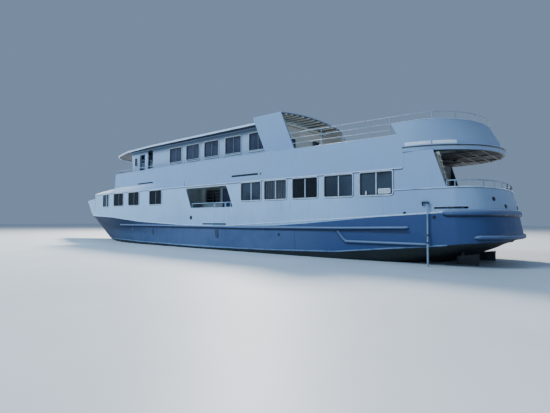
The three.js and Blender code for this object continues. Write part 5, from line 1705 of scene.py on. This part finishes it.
def rudder_ring(share):
    """The foil at a share of its height from the top, slimmer at both ends."""
    fore, aft = part_way(-16.72, -16.75, share), part_way(-17.56, -17.52, share)
    z_fore, z_aft = part_way(0.33, -1.0, share), part_way(0.43, -0.92, share)
    slim = 0.75 if share in (0.0, 1.0) else 1.0
    ring = []
    for t in (2 * math.pi * k / 24 for k in range(24)):
        u = (1 - math.cos(t)) / 2
        half = RUDDER_HALF * slim * 3 * (math.sqrt(u) - 0.35 * u - 0.65 * u * u)
        y = SHAFT_Y + math.copysign(min(half, RUDDER_HALF), math.sin(t))
        ring.append((part_way(fore, aft, u), y, part_way(z_fore, z_aft, u)))
    return ring


rudder = Piece(STEEL)
rudder.rings([rudder_ring(share) for share in (0.0, 0.03, 0.3, 0.7, 0.97, 1.0)])
rudder.lathe([(0.001, 0.3), (0.045, 0.3), (0.045, 0.43), (0.001, 0.437)], (STOCK_X, SHAFT_Y, 0), UP, 20)
for z in (-0.6, -0.2, 0.15):
    rudder.box((-17.4, -16.8), (SHAFT_Y - 0.042, SHAFT_Y + 0.042), (z - 0.006, z + 0.006))
rudder.place("rudder_blade_@", "dark_steel", "rudder_@", replaces=["rudder_@"], angle=50)

# Doors: panels, glass and handles, each on its own body

LEAF_EDGE = [(0.0, 0.0), (0.0, 0.010), (-0.008, 0.014), (-0.03, 0.014), (-0.036, 0.0)]
PANE_RIM = [(0.03, 0.0), (0.03, 0.008), (0.0, 0.014), (-0.004, 0.0)]
PANEL_RIM = [(0.012, 0.0), (0.008, 0.007), (-0.008, 0.007), (-0.012, 0.0)]
BOW_HANDLE = ((-0.06, 0.002), (-0.06, 0.038), (0.06, 0.038), (0.06, 0.002))
PLATE_THICK = 0.004


def handle(piece, wall, u, v):
    """A bow handle on two feet with its lock plate."""
    wall.box(piece, (u - 0.022, u + 0.022), (v - 0.12, v + 0.12), (0.0, PLATE_THICK))
    piece.tube(fillet([wall.at(u, v + rise, out) for rise, out in BOW_HANDLE], 0.02, 4), 0.008, 8)


def door(name, wall, half_u, half_v, paint, slot, pane=None, opens=0.8):
    """A leaf with its handle towards the side that opens; pane is its low and high edge and half width."""
    body = name.replace("_leaf", "")
    leaf = Piece(paint, STEEL)
    wall.frame(leaf, half_u - 0.004, half_v - 0.004, 0.02, LEAF_EDGE, 3)
    if pane:
        low, high, wide = pane
        tall = (high - low) / 2
        opening = wall.moved(0, (low + high) / 2)
        opening.frame(leaf, wide, tall, 0.04, PANE_RIM, 4)
    else:
        for v in (-half_v * 0.45, half_v * 0.5):
            wall.moved(0, v).frame(leaf, half_u * 0.66, half_v * 0.34, 0.02, PANEL_RIM, 3)
    leaf.kind = 1
    handle(leaf, wall, half_u * opens, -0.05)
    hinge = -half_u * opens
    for v in (-half_v + 0.35, half_v - 0.35):
        wall.box(leaf, (hinge - 0.03, hinge + 0.03), (v - 0.05, v + 0.05), (0.0, PLATE_THICK))
    leaf.place(name, slot, body)
    if pane:
        glass = Piece(GLASS)
        opening.plate(glass, rounded(wide, tall, 0.04), (0.0005, 0.006))
        glass.place(name.replace("leaf", "pane"), "window_glass", body)


door("bay_door_leaf_@", Wall((-3.73, 1.7902, 2.805)), 0.412, 0.845, NAVY, "door_navy", opens=-0.8)
door("wheelhouse_door_leaf_@", Wall((6.18, 1.9322, 5.625)), 0.378, 1.01, DOOR_BLUE, "hull_white",
     pane=(0.42, 0.84, 0.2))
door("main_aft_door_leaf", Wall((-15.2502, 0, 2.95), -OUT, UP, AFT), 0.44, 0.99, HOUSE, "hull_white",
     pane=(0.0, 0.8, 0.28))
door("upper_aft_door_leaf", Wall((-7.8902, 0.69, 5.55), -OUT, UP, AFT), 0.39, 0.93, CREAM, "hull_white",
     pane=(0.0, 0.75, 0.24))

# Floor

floor_mesh = bmesh.new()
bmesh.ops.create_grid(floor_mesh, x_segments=8, y_segments=8, size=160)
floor_data = bpy.data.meshes.new("floor")
floor_mesh.to_mesh(floor_data)
floor = bpy.data.objects.new("floor", floor_data)
bpy.context.collection.objects.link(floor)
ground = Shade("floor_paint")
mottled = ground.mix(ground.ramp(ground.noise(0.3, 3), 0.3, 0.7), (222, 226, 228), (230, 233, 235))
floor_data.materials.append(ground.finish(mottled, 0.5))
